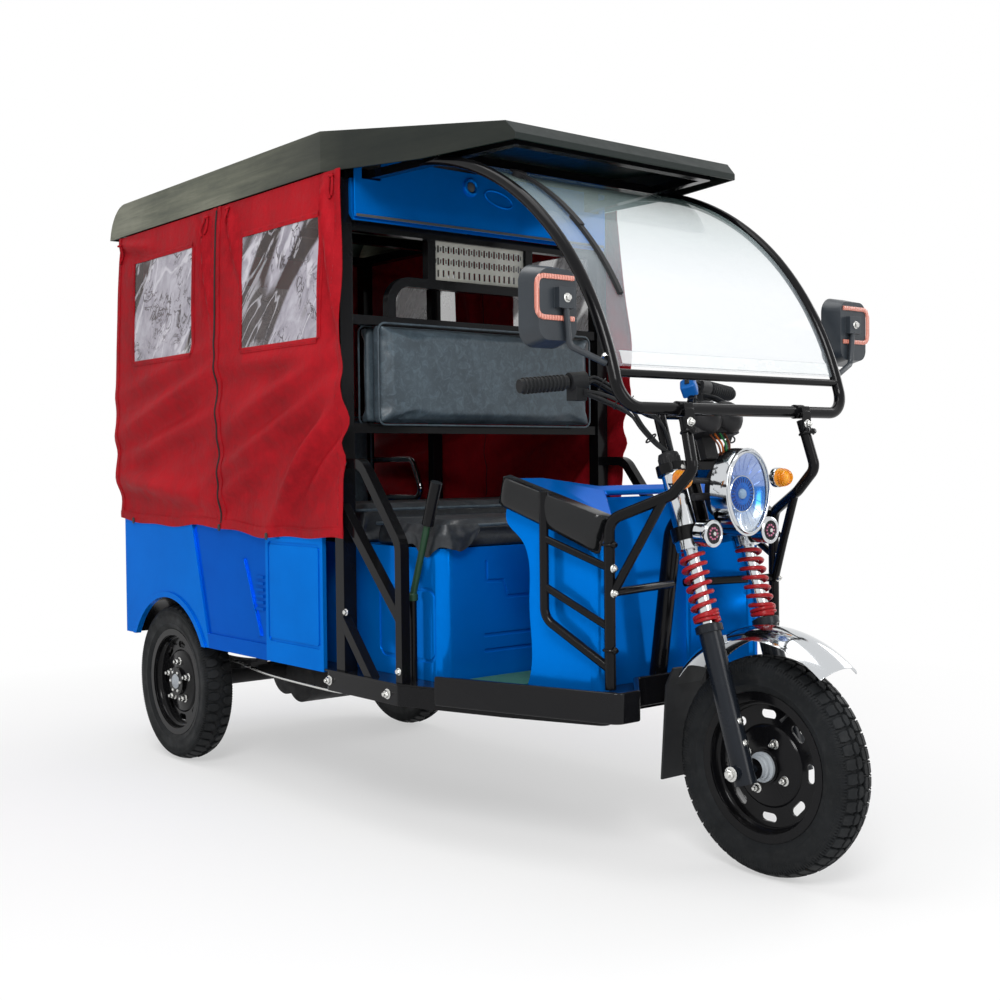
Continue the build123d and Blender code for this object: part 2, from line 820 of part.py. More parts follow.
def fork_level(ahead, across, up):
    """Plane square to the steering axis at a point of the fork."""
    return Plane(fork_point(ahead, across, up), x_dir=fork.x_dir, z_dir=fork.z_dir)


# Cowl: winged shield with a recessed middle, cut to the slope of the dash
cowl_skin = 12.0
dash_x = rear_axle_x + 1552.0
dash_z = 912.0
dash_fall = 19.2
dash_skin = 14.0
wing_x = rear_axle_x + 1601.0
wing_half = 337.0
centre_x = rear_axle_x + 1660.0
dash = Plane(
    (dash_x, 0, dash_z),
    x_dir=(cos(radians(dash_fall)), 0, -sin(radians(dash_fall))),
    z_dir=(sin(radians(dash_fall)), 0, cos(radians(dash_fall))),
)
wing_front = (nose_x - 34, 276.0)
knee_out = 66.0
tail_half = wing_half + 8.0
# Rear edge of the wings, seen from the side: dash, knee, waist and foot
wing_edge = [
    (dash_x + 2, dash_z + 8),
    (dash_x - 6, dash_z - 50),
    (wing_x - 62, dash_z - 104),
    (wing_x - 22, dash_z - 146),
    (wing_x - 2, dash_z - 190),
    (wing_x, dash_z - 300),
    (wing_x + 4, floor_top + 60),
    (wing_x - 16, floor_top - 4),
]
with BuildPart() as cowl_shield:
    with BuildSketch(Plane.XY.offset(floor_top)):
        with BuildLine():
            FilletPolyline(
                (wing_x - knee_out, -tail_half),
                (wing_front[0], -wing_front[1]),
                (centre_x, -150),
                (centre_x, 150),
                (wing_front[0], wing_front[1]),
                (wing_x - knee_out, tail_half),
                radius=22,
            )
        trace(line_width=cowl_skin)
    extrude(amount=dash_z - floor_top)
    with BuildSketch(Plane.XZ.offset(-body_half)):
        with BuildLine():
            edge = Spline(*wing_edge)
            Polyline(edge @ 1, (dash_x - 160, floor_top - 4), (dash_x - 160, dash_z + 8), edge @ 0)
        make_face()
    extrude(amount=2 * body_half, mode=Mode.SUBTRACT)
    split(bisect_by=dash.offset(-dash_skin), keep=Keep.BOTTOM)
save(cowl_shield, "cowl_shield")

# Outline of the dash top, along its slope and across
slope_run = (nose_x - 18 - dash_x) / cos(radians(dash_fall))
dash_half = 372.0
dash_nose = 292.0
dash_outline = [
    (64.0, 0.0),
    (64.0, 120.0),
    (0.0, 246.0),
    (0.0, dash_half),
    (slope_run, dash_nose),
    (slope_run - 10, dash_nose - 34),
    (slope_run - 176, 130.0),
    (slope_run - 176, 0.0),
]
with BuildPart() as dash_top:
    with BuildSketch(dash):
        with BuildLine():
            Polyline(*dash_outline)
        with BuildLine():
            Polyline(*[(run, -y) for run, y in dash_outline])
        make_face()
    extrude(amount=-dash_skin)
save(dash_top, "dash_top")

trim_depth = 46.0
trim_front = 74.0
trim_skin = 8.0
trim_turn = degrees(atan2(trim_front - trim_depth, slope_run))
trim_low = dash.offset(-dash_skin - trim_depth).rotated((0, trim_turn, 0))
with BuildPart() as dash_trim:
    with BuildSketch(dash.offset(-dash_skin)):
        with BuildLine():
            Polyline(
                (4.0, -dash_half),
                (slope_run, -dash_nose),
                (slope_run, -dash_nose + trim_skin),
                (4.0, -dash_half + trim_skin),
                close=True,
            )
        make_face()
    extrude(amount=-trim_front)
    split(bisect_by=trim_low, keep=Keep.TOP)
    mirror(about=Plane.XZ)
save(dash_trim, "dash_trim")

# Steering head: raked tube on a post that stands on the chassis
head_low = 574.0
head_high = 690.0
head_radius = 28.0
stem_radius = 15.0
neck_radius = 22.0
head_mid = fork_point(-axis_setback, 0, (head_low + head_high) / 2)
with BuildPart() as steering_head:
    with BuildSketch(fork_level(-axis_setback, 0, head_low)):
        Circle(head_radius)
    extrude(amount=head_high - head_low)
    bent_tube(
        [
            (neck_foot_x - 12, 0, floor_low - 60),
            (neck_foot_x + 54, 0, 775.0),
            (head_mid.X - 4, 0, head_mid.Z + 14)
        ],
        60.0,
        neck_radius,
    )
    box(neck_foot_x - 150, neck_foot_x + 150, -60, 60, 0, floor_top, mode=Mode.SUBTRACT)
    with BuildSketch(fork_level(-axis_setback, 0, head_low - 40)):
        Circle(stem_radius + 0.1)
    extrude(amount=head_high - head_low + 80, mode=Mode.SUBTRACT)
save(steering_head, "steering_head")

# Front guards: bent tubes from the screen's loop to the bumper, with bars over the cowl's wings
guard_r = 13.0
brace_r = 9.0
corner = (nose_x - 10, 290.0)
wing_tube = (rear_axle_x + 1672.0, 348.4)
with BuildPart() as front_guards:
    bent_tube(
        [
            (loop_x + 12, -206.0, loop_z - screen_tube - 6),
            (rear_axle_x + 2018, -215.0, 928.0),
            (rear_axle_x + 1961, -222.0, 873.0),
            (corner[0], -corner[1], 816.0),
            (corner[0], -corner[1], bumper_high),
        ],
        [30.0, 30.0, 40.0],
        guard_r,
    )
    bent_tube(
        [
            (wing_tube[0], -wing_tube[1], 880.0),
            (wing_tube[0], -wing_tube[1], 585.0),
            (corner[0], -corner[1], 476.0),
        ],
        45.0,
        brace_r + 2,
    )
    # z at the wing tube, z at the corner post
    for z_rear, z_front in ((772.0, 706.0), (660.0, 570.0)):
        rod((wing_tube[0], -wing_tube[1], z_rear), (corner[0], -corner[1], z_front), brace_r)
    rod((corner[0], -corner[1], 650.0), (neck_foot_x + 70, -24.0, 650.0), brace_r + 1)
    mirror(about=Plane.XZ)
save(front_guards, "front_guards")

# Hand brake beside the seat
brake_y = -seat_half - 22
brake_x = rear_axle_x + 1262.0
with BuildPart() as hand_brake:
    rod((brake_x, brake_y, floor_top), (brake_x, brake_y, 620.0), 10.0)
    rod((brake_x, brake_y, 612.0), (brake_x + 68, brake_y, 800.0), 8.0)
    rod((brake_x + 67, brake_y, 796.0), (brake_x + 106, brake_y, 902.0), 15.0)
save(hand_brake, "hand_brake")

# Rear axle, motor and leaf springs
axle_radius = 30.0
drum_out = rear_track / 2 - 58
stub_radius = 16.0
with BuildPart() as rear_axle:
    rod((rear_axle_x, -drum_out, tyre_radius), (rear_axle_x, drum_out, tyre_radius), axle_radius)
    stub_end = rear_track / 2 + 18
    rod((rear_axle_x, -stub_end, tyre_radius), (rear_axle_x, stub_end, tyre_radius), stub_radius)
    for side in (-1, 1):
        rod(
            (rear_axle_x, side * (drum_out - 22), tyre_radius),
            (rear_axle_x, side * drum_out, tyre_radius),
            112.0
        )
    rod((rear_axle_x, -70.0, tyre_radius), (rear_axle_x, 60.0, tyre_radius), 88.0)
save(rear_axle, "rear_axle")

motor_x = rear_axle_x + 182.0
with BuildPart() as drive_motor:
    rod((motor_x, -120.0, tyre_radius), (motor_x, 130.0, tyre_radius), 86.0)
    box(rear_axle_x + 60, motor_x, -50, 50, tyre_radius - 52, tyre_radius + 52)
    rod((rear_axle_x, -90.0, tyre_radius), (rear_axle_x, 90.0, tyre_radius), 88.3, mode=Mode.SUBTRACT)
save(drive_motor, "drive_motor")

leaf_half = 30.0
leaf_top = tyre_radius + axle_radius + 34
with BuildPart() as leaf_springs:
    with BuildSketch(Plane.XZ.offset(rail_half - leaf_half)):
        # half length, level of the leaf's top at the axle
        for reach, level in ((295.0, leaf_top), (235.0, leaf_top - 9), (170.0, leaf_top - 18)):
            rise = 26.0 * (reach / 295.0) ** 2
            with BuildLine():
                upper = ThreePointArc(
                    (rear_axle_x - reach, level + rise), (rear_axle_x, level), (
                        rear_axle_x + reach, level + rise
                    )
                )
                lower = ThreePointArc(
                    (rear_axle_x - reach, level + rise - 9.2),
                    (rear_axle_x, level - 9.2),
                    (rear_axle_x + reach, level + rise - 9.2),
                )
                Line(upper @ 0, lower @ 0)
                Line(upper @ 1, lower @ 1)
            make_face()
        with Locations((rear_axle_x, tyre_radius + axle_radius + 3)):
            Rectangle(90, 14)
    extrude(amount=2 * leaf_half)
    for end in (-1, 1):
        x_eye = rear_axle_x + end * 286
        box(
            x_eye - 16,
            x_eye + 16,
            -rail_half - leaf_half,
            -rail_half + leaf_half,
            leaf_top + 20,
            frame_low
        )
    rod(
        (rear_axle_x, -rail_half - 60, tyre_radius),
        (rear_axle_x, -rail_half + 60, tyre_radius),
        axle_radius + 0.3,
        mode=Mode.SUBTRACT
    )
    mirror(about=Plane.XZ)
save(leaf_springs, "leaf_springs")

# Fork crowns and steering stem
crown_low = 536.0
crown_high = 568.0
bridge_low = 696.0
bridge_high = 720.0
inner_leg = 17.0
with BuildPart() as fork_crowns:
    for low, high in ((crown_low, crown_high), (bridge_low, bridge_high)):
        with BuildSketch(fork_level(0, 0, low)):
            with BuildLine():
                Polyline(
                    (34, -leg_half), (34, leg_half), (-20, leg_half + 26), (-82, 26), (-82, -26), (
                        -20, -leg_half - 26
                    ), close=True
                )
            make_face()
            for side in (-1, 1):
                with Locations((0, side * leg_half)):
                    Circle(36)
            for side in (-1, 1):
                with Locations((0, side * leg_half)):
                    Circle(inner_leg + 0.3, mode=Mode.SUBTRACT)
        extrude(amount=high - low)
    with BuildSketch(fork_level(-axis_setback, 0, crown_low)):
        Circle(stem_radius)
    extrude(amount=bridge_high - crown_low)
save(fork_crowns, "fork_crowns")

# Fork legs: inner tubes with bright covers, coil springs, sliders with the axle
spring_low = 334.0
spring_high = 514.0
slider_radius = 26.0
cover_radius = 27.0
leg_top = 744.0
# radius, low, high
leg_steps = [
    (inner_leg, spring_low + 0.3, leg_top),
    (cover_radius, crown_high + 0.3, bridge_low - 0.3),
    (cover_radius + 5, spring_high, crown_low - 0.3),
    (cover_radius - 4, bridge_high + 0.3, leg_top),
]
with BuildPart() as fork_tubes:
    for radius, low, high in leg_steps:
        with BuildSketch(fork_level(0, -leg_half, low)):
            Circle(radius)
        extrude(amount=high - low)
    mirror(about=Plane.XZ)
save(fork_tubes, "fork_tubes")

coil_radius = 27.0
wire = 5.0
coils = 7.5
coil_low = spring_low + wire + 1
coil_run = spring_high - spring_low - 2 * wire - 1.4
with BuildPart() as fork_springs:
    coil_foot = fork_point(0, -leg_half, coil_low)
    with BuildLine() as coil:
        Helix(
            pitch=coil_run / coils,
            height=coil_run,
            radius=coil_radius,
            center=coil_foot,
            direction=fork.z_dir
        )
    with BuildSketch(Plane(coil.line @ 0, z_dir=coil.line % 0)) as section:
        RegularPolygon(wire, 8)
    sweep(sections=section.sketch, path=coil.line, is_frenet=True)
    mirror(about=Plane.XZ)
save(fork_springs, "fork_springs")

axle_r = 10.0
with BuildPart() as fork_sliders:
    for radius, low, high in (
        (slider_radius, -30.0, spring_low), (slider_radius + 6, spring_low - 16, spring_low)
    ):
        for side in (-1, 1):
            with BuildSketch(fork_level(0, side * leg_half, low)):
                Circle(radius)
            extrude(amount=high - low)
    rod((front_axle_x, -leg_half - 40, tyre_radius), (front_axle_x, leg_half + 40, tyre_radius), axle_r)
    for side in (-1, 1):
        rod(
            (front_axle_x, side * (leg_half + 20), tyre_radius),
            (front_axle_x, side * (leg_half + 34), tyre_radius),
            16.0,
        )
save(fork_sliders, "fork_sliders")

# Front mudguard and flap
guard_radius = 320.0
guard_half = 65.0
guard_start = 50.0
guard_sweep = 91.0
start_dir = (cos(radians(guard_start)), 0, sin(radians(guard_start)))
tangent_dir = (-sin(radians(guard_start)), 0, cos(radians(guard_start)))
axle_point = (front_axle_x, 0, tyre_radius)
with BuildPart() as front_mudguard:
    with BuildSketch(Plane(axle_point, x_dir=start_dir, z_dir=tangent_dir)):
        with BuildLine():
            crest = ThreePointArc(
                (guard_radius - 30, -guard_half), (guard_radius, 0), (guard_radius - 30, guard_half)
            )
            under = ThreePointArc(
                (guard_radius - 30, -guard_half + 3.4), (guard_radius - 3, 0), (
                    guard_radius - 30, guard_half - 3.4
                )
            )
            Line(crest @ 0, under @ 0)
            Line(crest @ 1, under @ 1)
        make_face()
    revolve(axis=Axis(axle_point, (0, -1, 0)), revolution_arc=guard_sweep)
    for side in (-1, 1):
        ear_y = side * (guard_half - 6)
        with BuildSketch(fork_level(0, side * (guard_half + 3.5), guard_radius - 34)):
            Rectangle(26, 10.4)
        extrude(amount=20.0)
save(front_mudguard, "front_mudguard")

flap_half = 62.0
guard_end = radians(guard_start + guard_sweep)
flap_x = front_axle_x + guard_radius * cos(guard_end)
flap_z = tyre_radius + guard_radius * sin(guard_end)
flap_low = 178.0
with BuildPart() as mud_flap:
    with BuildSketch(Plane.XZ.offset(-flap_half)):
        with BuildLine():
            Polyline(
                (flap_x, flap_z),
                (flap_x - 24, flap_z - 44),
                (flap_x - 42, flap_low),
                (flap_x - 36, flap_low),
                (flap_x - 18, flap_z - 46),
                (flap_x - 5 * cos(guard_end), flap_z - 5 * sin(guard_end)),
                close=True,
            )
        make_face()
    extrude(amount=2 * flap_half)
save(mud_flap, "mud_flap")

# Handlebar with risers, grips and switch boxes
bar_radius = 11.0
grip_end = Vector(rear_axle_x + 1620, -366.0, 1128.0)
bar_bend = Vector(rear_axle_x + 1660, -172.0, 1146.0)
bar_mid = fork_point(-axis_setback - 2, 0, 862.0)
with BuildPart() as handlebar:
    bent_tube(
        [
            tuple(grip_end),
            tuple(bar_bend),
            (bar_mid.X, -74.0, bar_mid.Z),
            (bar_mid.X, 74.0, bar_mid.Z),
            (bar_bend.X, -bar_bend.Y, bar_bend.Z),
            (grip_end.X, -grip_end.Y, grip_end.Z),
        ],
        36.0,
        bar_radius,
    )
    for side in (-1, 1):
        with BuildSketch(fork_level(-axis_setback - 2, side * 44.0, bridge_high)):
            Circle(15)
        extrude(amount=862.0 - bridge_high)
save(handlebar, "handlebar")

along = (bar_bend - grip_end).normalized()
bore = bar_radius + 0.3
with BuildPart() as hand_controls:
    # start along the bar, end along the bar, radius
    for begin, end, radius in ((-8.0, 122.0, 16.5), (128.0, 172.0, 23.0)):
        rod(tuple(grip_end + along * begin), tuple(grip_end + along * end), radius)
    box_mid = grip_end + along * 150.0
    with Locations(tuple(box_mid - Vector(0, 0, 26))):
        Box(34, 36, 40)
    rod(tuple(grip_end), tuple(grip_end + along * 190.0), bore, mode=Mode.SUBTRACT)
    mirror(about=Plane.XZ)
save(hand_controls, "hand_controls")

# Instruments on the bridge of the fork
with BuildPart() as instrument_cluster:
    with BuildSketch(fork_level(62, 0, 772.0)):
        RectangleRounded(60, 150, 22)
    extrude(amount=64.0, taper=8)
    with BuildSketch(fork_level(36, 0, bridge_high)):
        Rectangle(20, 44)
    extrude(amount=70.0)
save(instrument_cluster, "instrument_cluster")

# Headlight, horns and indicators
lamp_x = rear_axle_x + 1975.0
lamp_z = 875.0
lamp_w = 77.0
lamp_h = 102.0
rim_depth = 18.0
hood_depth = 32.0
stalk_y = 162.0
indicator_x = rear_axle_x + 1935.0
indicator_z = 906.0
lamp_face = Plane((lamp_x, 0, lamp_z), x_dir=(0, 1, 0), z_dir=(1, 0, 0))
with BuildPart() as headlight_shell:
    with BuildSketch(lamp_face):
        Ellipse(lamp_w - 5, lamp_h - 5)
    with BuildSketch(lamp_face.offset(-78)):
        Ellipse(44, 60)
    loft()
    for side in (-1, 1):
        rod((lamp_x - 50, side * 30, lamp_z - 10), (lamp_x - 62, side * leg_half, lamp_z - 10), 9.0)
        rod((lamp_x - 40, side * 30, lamp_z + 24), (indicator_x - 8, side * stalk_y, indicator_z), 7.0)
        with BuildSketch(fork_level(0, side * leg_half, crown_high - 20)):
            Circle(cover_radius + 0.3)
        extrude(amount=bridge_low - crown_high + 40, mode=Mode.SUBTRACT)
        lamp_y = side * (stalk_y + 16)
        rod(
            (indicator_x - 8, lamp_y, indicator_z),
            (indicator_x + 60, lamp_y, indicator_z),
            24.3,
            mode=Mode.SUBTRACT
        )
save(headlight_shell, "headlight_shell")

with BuildPart() as headlight_bezel:
    with BuildSketch(lamp_face):
        Ellipse(lamp_w, lamp_h)
        Ellipse(lamp_w - 12, lamp_h - 12, mode=Mode.SUBTRACT)
    extrude(amount=rim_depth)
    with BuildSketch(lamp_face.offset(-hood_depth)):
        Ellipse(lamp_w, lamp_h)
        Ellipse(lamp_w - 4.6, lamp_h - 4.6, mode=Mode.SUBTRACT)
    extrude(amount=hood_depth)
save(headlight_bezel, "headlight_bezel")

with BuildPart() as headlight_lens:
    with BuildSketch(lamp_face):
        Ellipse(lamp_w - 12.4, lamp_h - 12.4)
    with BuildSketch(lamp_face.offset(rim_depth + 6)):
        Ellipse(lamp_w - 17, lamp_h - 17)
    loft()
save(headlight_lens, "headlight_lens")

with BuildPart() as indicators:
    for side in (-1, 1):
        rod(
            (indicator_x - 7.7, side * (stalk_y + 16), indicator_z),
            (indicator_x + 40, side * (stalk_y + 16), indicator_z),
            24.0
        )
save(indicators, "indicators")

horn_x = rear_axle_x + 1938.0
horn_z = 782.0
with BuildPart() as horns:
    for side in (-1, 1):
        rod((horn_x, side * leg_half, horn_z), (horn_x + 34, side * leg_half, horn_z), 31.0)
        rod((horn_x - 20, side * leg_half, horn_z), (horn_x + 4, side * leg_half, horn_z), 7.0)
        with BuildSketch(fork_level(0, side * leg_half, crown_low - 30)):
            Circle(36.3)
        extrude(amount=crown_high - crown_low + 60, mode=Mode.SUBTRACT)
save(horns, "horns")

# Wheels
bead_radius = 160.0
bead_half = 34.0
lip_radius = 171.0
disc_skin = 6.0
drum_half = 30.0


def wheel_plane(centre):
    """Section plane through a wheel's axis: first along the radius, then along the axle."""
    return Plane(centre, x_dir=(1, 0, 0), z_dir=(0, 0, 1))


def add_tyre(centre):
    """Adds a tyre, out to the tips of its tread, to the part being built."""
    half = tyre_width / 2
    with BuildSketch(wheel_plane(centre)) as section:
        with BuildLine():
            tread = ThreePointArc(
                (tyre_radius - 13, -half + 5), (tyre_radius, 0), (tyre_radius - 13, half - 5)
            )
            Polyline(
                tread @ 1,
                (tyre_radius - 36, half),
                (bead_radius + 26, half - 4),
                (bead_radius + 12, bead_half),
                (bead_radius, bead_half),
                (bead_radius, -bead_half),
                (bead_radius + 12, -bead_half),
                (bead_radius + 26, -half + 4),
                (tyre_radius - 36, -half),
                tread @ 0,
            )
        make_face()
    revolve(profiles=section.sketch, axis=Axis(centre, (0, 1, 0)))


def add_rim(centre, disc_y, hub_low, hub_high, hub_radius, end_radius, bore_radius, bore_low, bore_high):
    """Adds a slotted disc wheel with its hub, with distances along the axle from the wheel's middle."""
    # inner radius, outer radius, low, high
    rings = [
        (bead_radius - 9, bead_radius - 0.4, -bead_half - 6, bead_half + 6),
        (bead_radius - 4, lip_radius, bead_half + 0.4, bead_half + 6),
        (bead_radius - 4, lip_radius, -bead_half - 6, -bead_half - 0.4),
        (hub_radius - 10, bead_radius - 6, disc_y - disc_skin / 2, disc_y + disc_skin / 2),
        (bore_radius, hub_radius, max(bore_low, -drum_half), min(bore_high, drum_half)),
        (bore_radius, end_radius, bore_low, bore_high),
    ]
    with BuildSketch(wheel_plane(centre)) as section:
        for inner, outer, low, high in rings:
            with Locations(((inner + outer) / 2, (low + high) / 2)):
                Rectangle(outer - inner, high - low)
        for low, high in ((hub_low, bore_low), (bore_high, hub_high)):
            if high - low > 0.5:
                with Locations((hub_radius / 2, (low + high) / 2)):
                    Rectangle(hub_radius, high - low)
    revolve(profiles=section.sketch, axis=Axis(centre, (0, 1, 0)))
    face = Plane((centre[0], centre[1] + disc_y, centre[2]), x_dir=(1, 0, 0), z_dir=(0, -1, 0))
    with BuildSketch(face) as slots:
        with PolarLocations(118.0, 8):
            SlotOverall(44, 20, rotation=90)
    extrude(to_extrude=slots.sketch, amount=20, both=True, mode=Mode.SUBTRACT)


front_centre = (front_axle_x, 0, tyre_radius)
with BuildPart() as front_tyre:
    add_tyre(front_centre)
save(front_tyre, "front_tyre")
with BuildPart() as front_rim:
    add_rim(front_centre, -8.0, -62.0, 62.0, 40.0, 24.0, axle_r + 0.1, -62.0, 62.0)
save(front_rim, "front_rim")

hub_in = drum_out + 6 - rear_track / 2
for side, name in ((-1, "right"), (1, "left")):
    rear_centre = (rear_axle_x, side * rear_track / 2, tyre_radius)
    with BuildPart() as rear_tyre:
        add_tyre(rear_centre)
    save(rear_tyre, f"rear_{name}_tyre")
    bore_span = sorted((side * hub_in, side * 20.0))
    hub_span = sorted((side * hub_in, side * 34.0))
    with BuildPart() as rear_rim:
        add_rim(rear_centre, side * 8.0, *hub_span, 46.0, 46.0, stub_radius + 0.1, *bore_span)
    save(rear_rim, f"rear_{name}_rim")
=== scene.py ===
import json
import math

import bmesh
import bpy
from mathutils import Matrix, Vector, noise


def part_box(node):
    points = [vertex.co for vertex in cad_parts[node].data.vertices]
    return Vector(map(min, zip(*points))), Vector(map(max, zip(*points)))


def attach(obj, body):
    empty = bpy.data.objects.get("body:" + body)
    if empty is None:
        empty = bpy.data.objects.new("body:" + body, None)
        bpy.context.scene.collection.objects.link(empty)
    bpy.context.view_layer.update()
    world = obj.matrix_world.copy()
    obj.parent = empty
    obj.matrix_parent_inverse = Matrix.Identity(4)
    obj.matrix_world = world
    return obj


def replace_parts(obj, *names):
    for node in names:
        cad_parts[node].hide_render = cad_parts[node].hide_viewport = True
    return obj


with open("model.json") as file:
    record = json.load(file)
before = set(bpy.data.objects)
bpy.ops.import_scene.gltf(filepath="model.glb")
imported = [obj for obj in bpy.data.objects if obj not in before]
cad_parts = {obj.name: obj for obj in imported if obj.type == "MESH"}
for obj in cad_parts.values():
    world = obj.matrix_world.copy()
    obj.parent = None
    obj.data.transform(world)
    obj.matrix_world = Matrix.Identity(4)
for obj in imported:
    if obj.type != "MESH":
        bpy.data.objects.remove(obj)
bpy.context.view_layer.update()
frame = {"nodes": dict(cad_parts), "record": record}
scene = bpy.context.scene
scene.view_settings.view_transform = "Standard"
cad = frame["nodes"]

# Main places, in metres, as the CAD source has them
REAR_X, FRONT_X, AXLE_Z = -0.962, 1.094, 0.252
RAKE = math.radians(17.3)
TRACK = 0.88
LEG_Y = 0.100
SIDES = ((-1, "right"), (1, "left"))
AHEAD, ACROSS, UP = Vector((1, 0, 0)), Vector((0, 1, 0)), Vector((0, 0, 1))
FORK_UP = Vector((-math.sin(RAKE), 0, math.cos(RAKE)))
FORK_AHEAD = Vector((math.cos(RAKE), 0, math.sin(RAKE)))


def fork(ahead, across, up):
    """Point of the fork's raked plane, whose origin is the front axle."""
    return Vector((FRONT_X, across, AXLE_Z)) + FORK_AHEAD * ahead + FORK_UP * up


def unit(value):
    """Value held between 0 and 1."""
    return min(1.0, max(0.0, value))


# Materials
class Nodes:
    """A node tree, with short ways to add and join its nodes."""

    def __init__(self, tree):
        self.tree = tree

    def feed(self, target, value):
        """Joins an output to an input, or sets the input's own value."""
        if hasattr(value, "is_linked"):
            self.tree.links.new(value, target)
        else:
            target.default_value = (*value, 1) if target.type == "RGBA" else value

    def add(self, kind, **values):
        made = self.tree.nodes.new(f"ShaderNode{kind}")
        for key, value in values.items():
            socket = made.inputs.get(key.replace("_", " "))
            if socket is None:
                setattr(made, key, value)
            else:
                self.feed(socket, value)
        return made

    def times(self, first, second, operation="MULTIPLY"):
        made = self.add("Math", operation=operation)
        self.feed(made.inputs[0], first)
        self.feed(made.inputs[1], second)
        return made.outputs["Value"]

    def spread(self, value, low, high, from_low=0.3, from_high=0.7):
        made = self.add("MapRange", Value=value, From_Min=from_low, From_Max=from_high, To_Min=low,
                        To_Max=high)
        return made.outputs["Result"]

    def seen(self):
        """High for rays that the camera follows, straight, mirrored or through glass."""
        path = self.add("LightPath").outputs
        direct = self.times(path["Is Camera Ray"], path["Is Glossy Ray"], "MAXIMUM")
        return self.times(direct, path["Is Transmission Ray"], "MAXIMUM")


class Look(Nodes):
    """A new material, whose shader is fed by noise, masks and bumps."""

    def __init__(self, name, **sockets):
        self.material = bpy.data.materials.new(name)
        self.material.use_nodes = True
        super().__init__(self.material.node_tree)
        self.shader = self.tree.nodes["Principled BSDF"]
        self.set(**sockets)

    def set(self, **sockets):
        for key, value in sockets.items():
            self.feed(self.shader.inputs[key.replace("_", " ")], value)

    def place(self, **mapping):
        objects = self.add("TexCoord").outputs["Object"]
        return self.add("Mapping", Vector=objects, **mapping).outputs["Vector"]

    def part(self, kind, output, axis):
        """One component of a vector that a node gives."""
        return self.add("SeparateXYZ", Vector=self.add(kind).outputs[output]).outputs[axis]

    def cloud(self, scale, detail=4.0, rough=0.55, stretch=(1, 1, 1), twist=0.0, place=None):
        if place is None:
            place = self.place(Scale=stretch)
        else:
            place = self.add("Mapping", Vector=place, Scale=stretch).outputs["Vector"]
        made = self.add("TexNoise", Scale=scale, Detail=detail, Roughness=rough, Distortion=twist,
                        Vector=place)
        return made.outputs["Fac"]

    def wave(self, direction, scale, **values):
        made = self.add("TexWave", bands_direction=direction, Scale=scale, Vector=self.place(), **values)
        return made.outputs["Fac"]

    def ramp(self, value, *stops):
        made = self.add("ValToRGB", Fac=value)
        elements = made.color_ramp.elements
        while len(elements) < len(stops):
            elements.new(0.5)
        for element, (place, colour) in zip(elements, stops):
            element.position = place
            element.color = (*colour, 1)
        return made.outputs["Color"]

    def blend(self, factor, first, second):
        made = self.add("Mix", data_type="RGBA", Factor=factor)
        self.feed(made.inputs[6], first)
        self.feed(made.inputs[7], second)
        return made.outputs[2]

    def bump(self, height, strength, distance, under=None):
        made = self.add("Bump", Strength=strength, Distance=distance, Height=height)
        if under is not None:
            self.feed(made.inputs["Normal"], under)
        return made.outputs["Normal"]

    def edges(self, radius):
        """Soft rounding of hard edges, and a mask that is high along them."""
        soft = self.add("Bevel", samples=4, Radius=radius).outputs["Normal"]
        dot = self.add("VectorMath", operation="DOT_PRODUCT")
        self.feed(dot.inputs[0], soft)
        self.feed(dot.inputs[1], self.add("NewGeometry").outputs["Normal"])
        return soft, self.spread(dot.outputs["Value"], 1.0, 0.0, 0.72, 0.97)

    def dust(self, most):
        level = self.spread(self.part("NewGeometry", "Normal", "Z"), 0.0, most, 0.55, 1.0)
        return self.times(level, self.spread(self.cloud(14.0, 6.0, 0.65), 0.35, 1.0))


def scaled(colour, factor, lift=0.0):
    return tuple(min(1.0, channel * factor + lift) for channel in colour)


def paint(name, colour, shade, wear, rough=(0.16, 0.3), dust=0.06, metal=0.0, spec=0.16, tint=(1, 1, 1)):
    """Enamel over metal: slight colour drift, dust on top, worn edges and orange peel."""
    look = Look(name, Metallic=metal, Specular_IOR_Level=spec, Specular_Tint=tint)
    base = look.ramp(look.cloud(2.6, 5.0, 0.6), (0.32, shade), (0.68, colour))
    rounded, edges = look.edges(0.0016)
    chipped = look.times(edges, look.spread(look.cloud(90.0, 6.0, 0.7), 0.0, 0.8, 0.46, 0.66))
    worn = look.blend(chipped, base, wear)
    smear = look.cloud(9.0, 7.0, 0.62, (1, 1, 0.35))
    peel = look.cloud(420.0, 2.0, 0.4)
    look.set(Base_Color=look.blend(look.dust(dust), worn, (0.33, 0.31, 0.28)),
             Roughness=look.spread(smear, *rough), Normal=look.bump(peel, 0.012, 0.002, rounded))
    return look.material


def moulded(name, colour, shade, rough=(0.42, 0.58), grain=0.12, dust=0.05, grain_scale=900.0, spec=0.22):
    """Moulded plastic or rubber with a fine grain."""
    look = Look(name, Specular_IOR_Level=spec)
    base = look.ramp(look.cloud(5.0, 6.0, 0.65), (0.3, shade), (0.7, colour))
    rounded, edges = look.edges(0.0014)
    lightened = look.blend(look.times(edges, 0.45), base, scaled(colour, 2.2, 0.02))
    height = look.cloud(grain_scale, 3.0, 0.6)
    look.set(Base_Color=look.blend(look.dust(dust), lightened, (0.30, 0.29, 0.27)),
             Roughness=look.spread(look.cloud(22.0, 6.0, 0.6), *rough),
             Normal=look.bump(height, grain, 0.001, rounded))
    return look.material


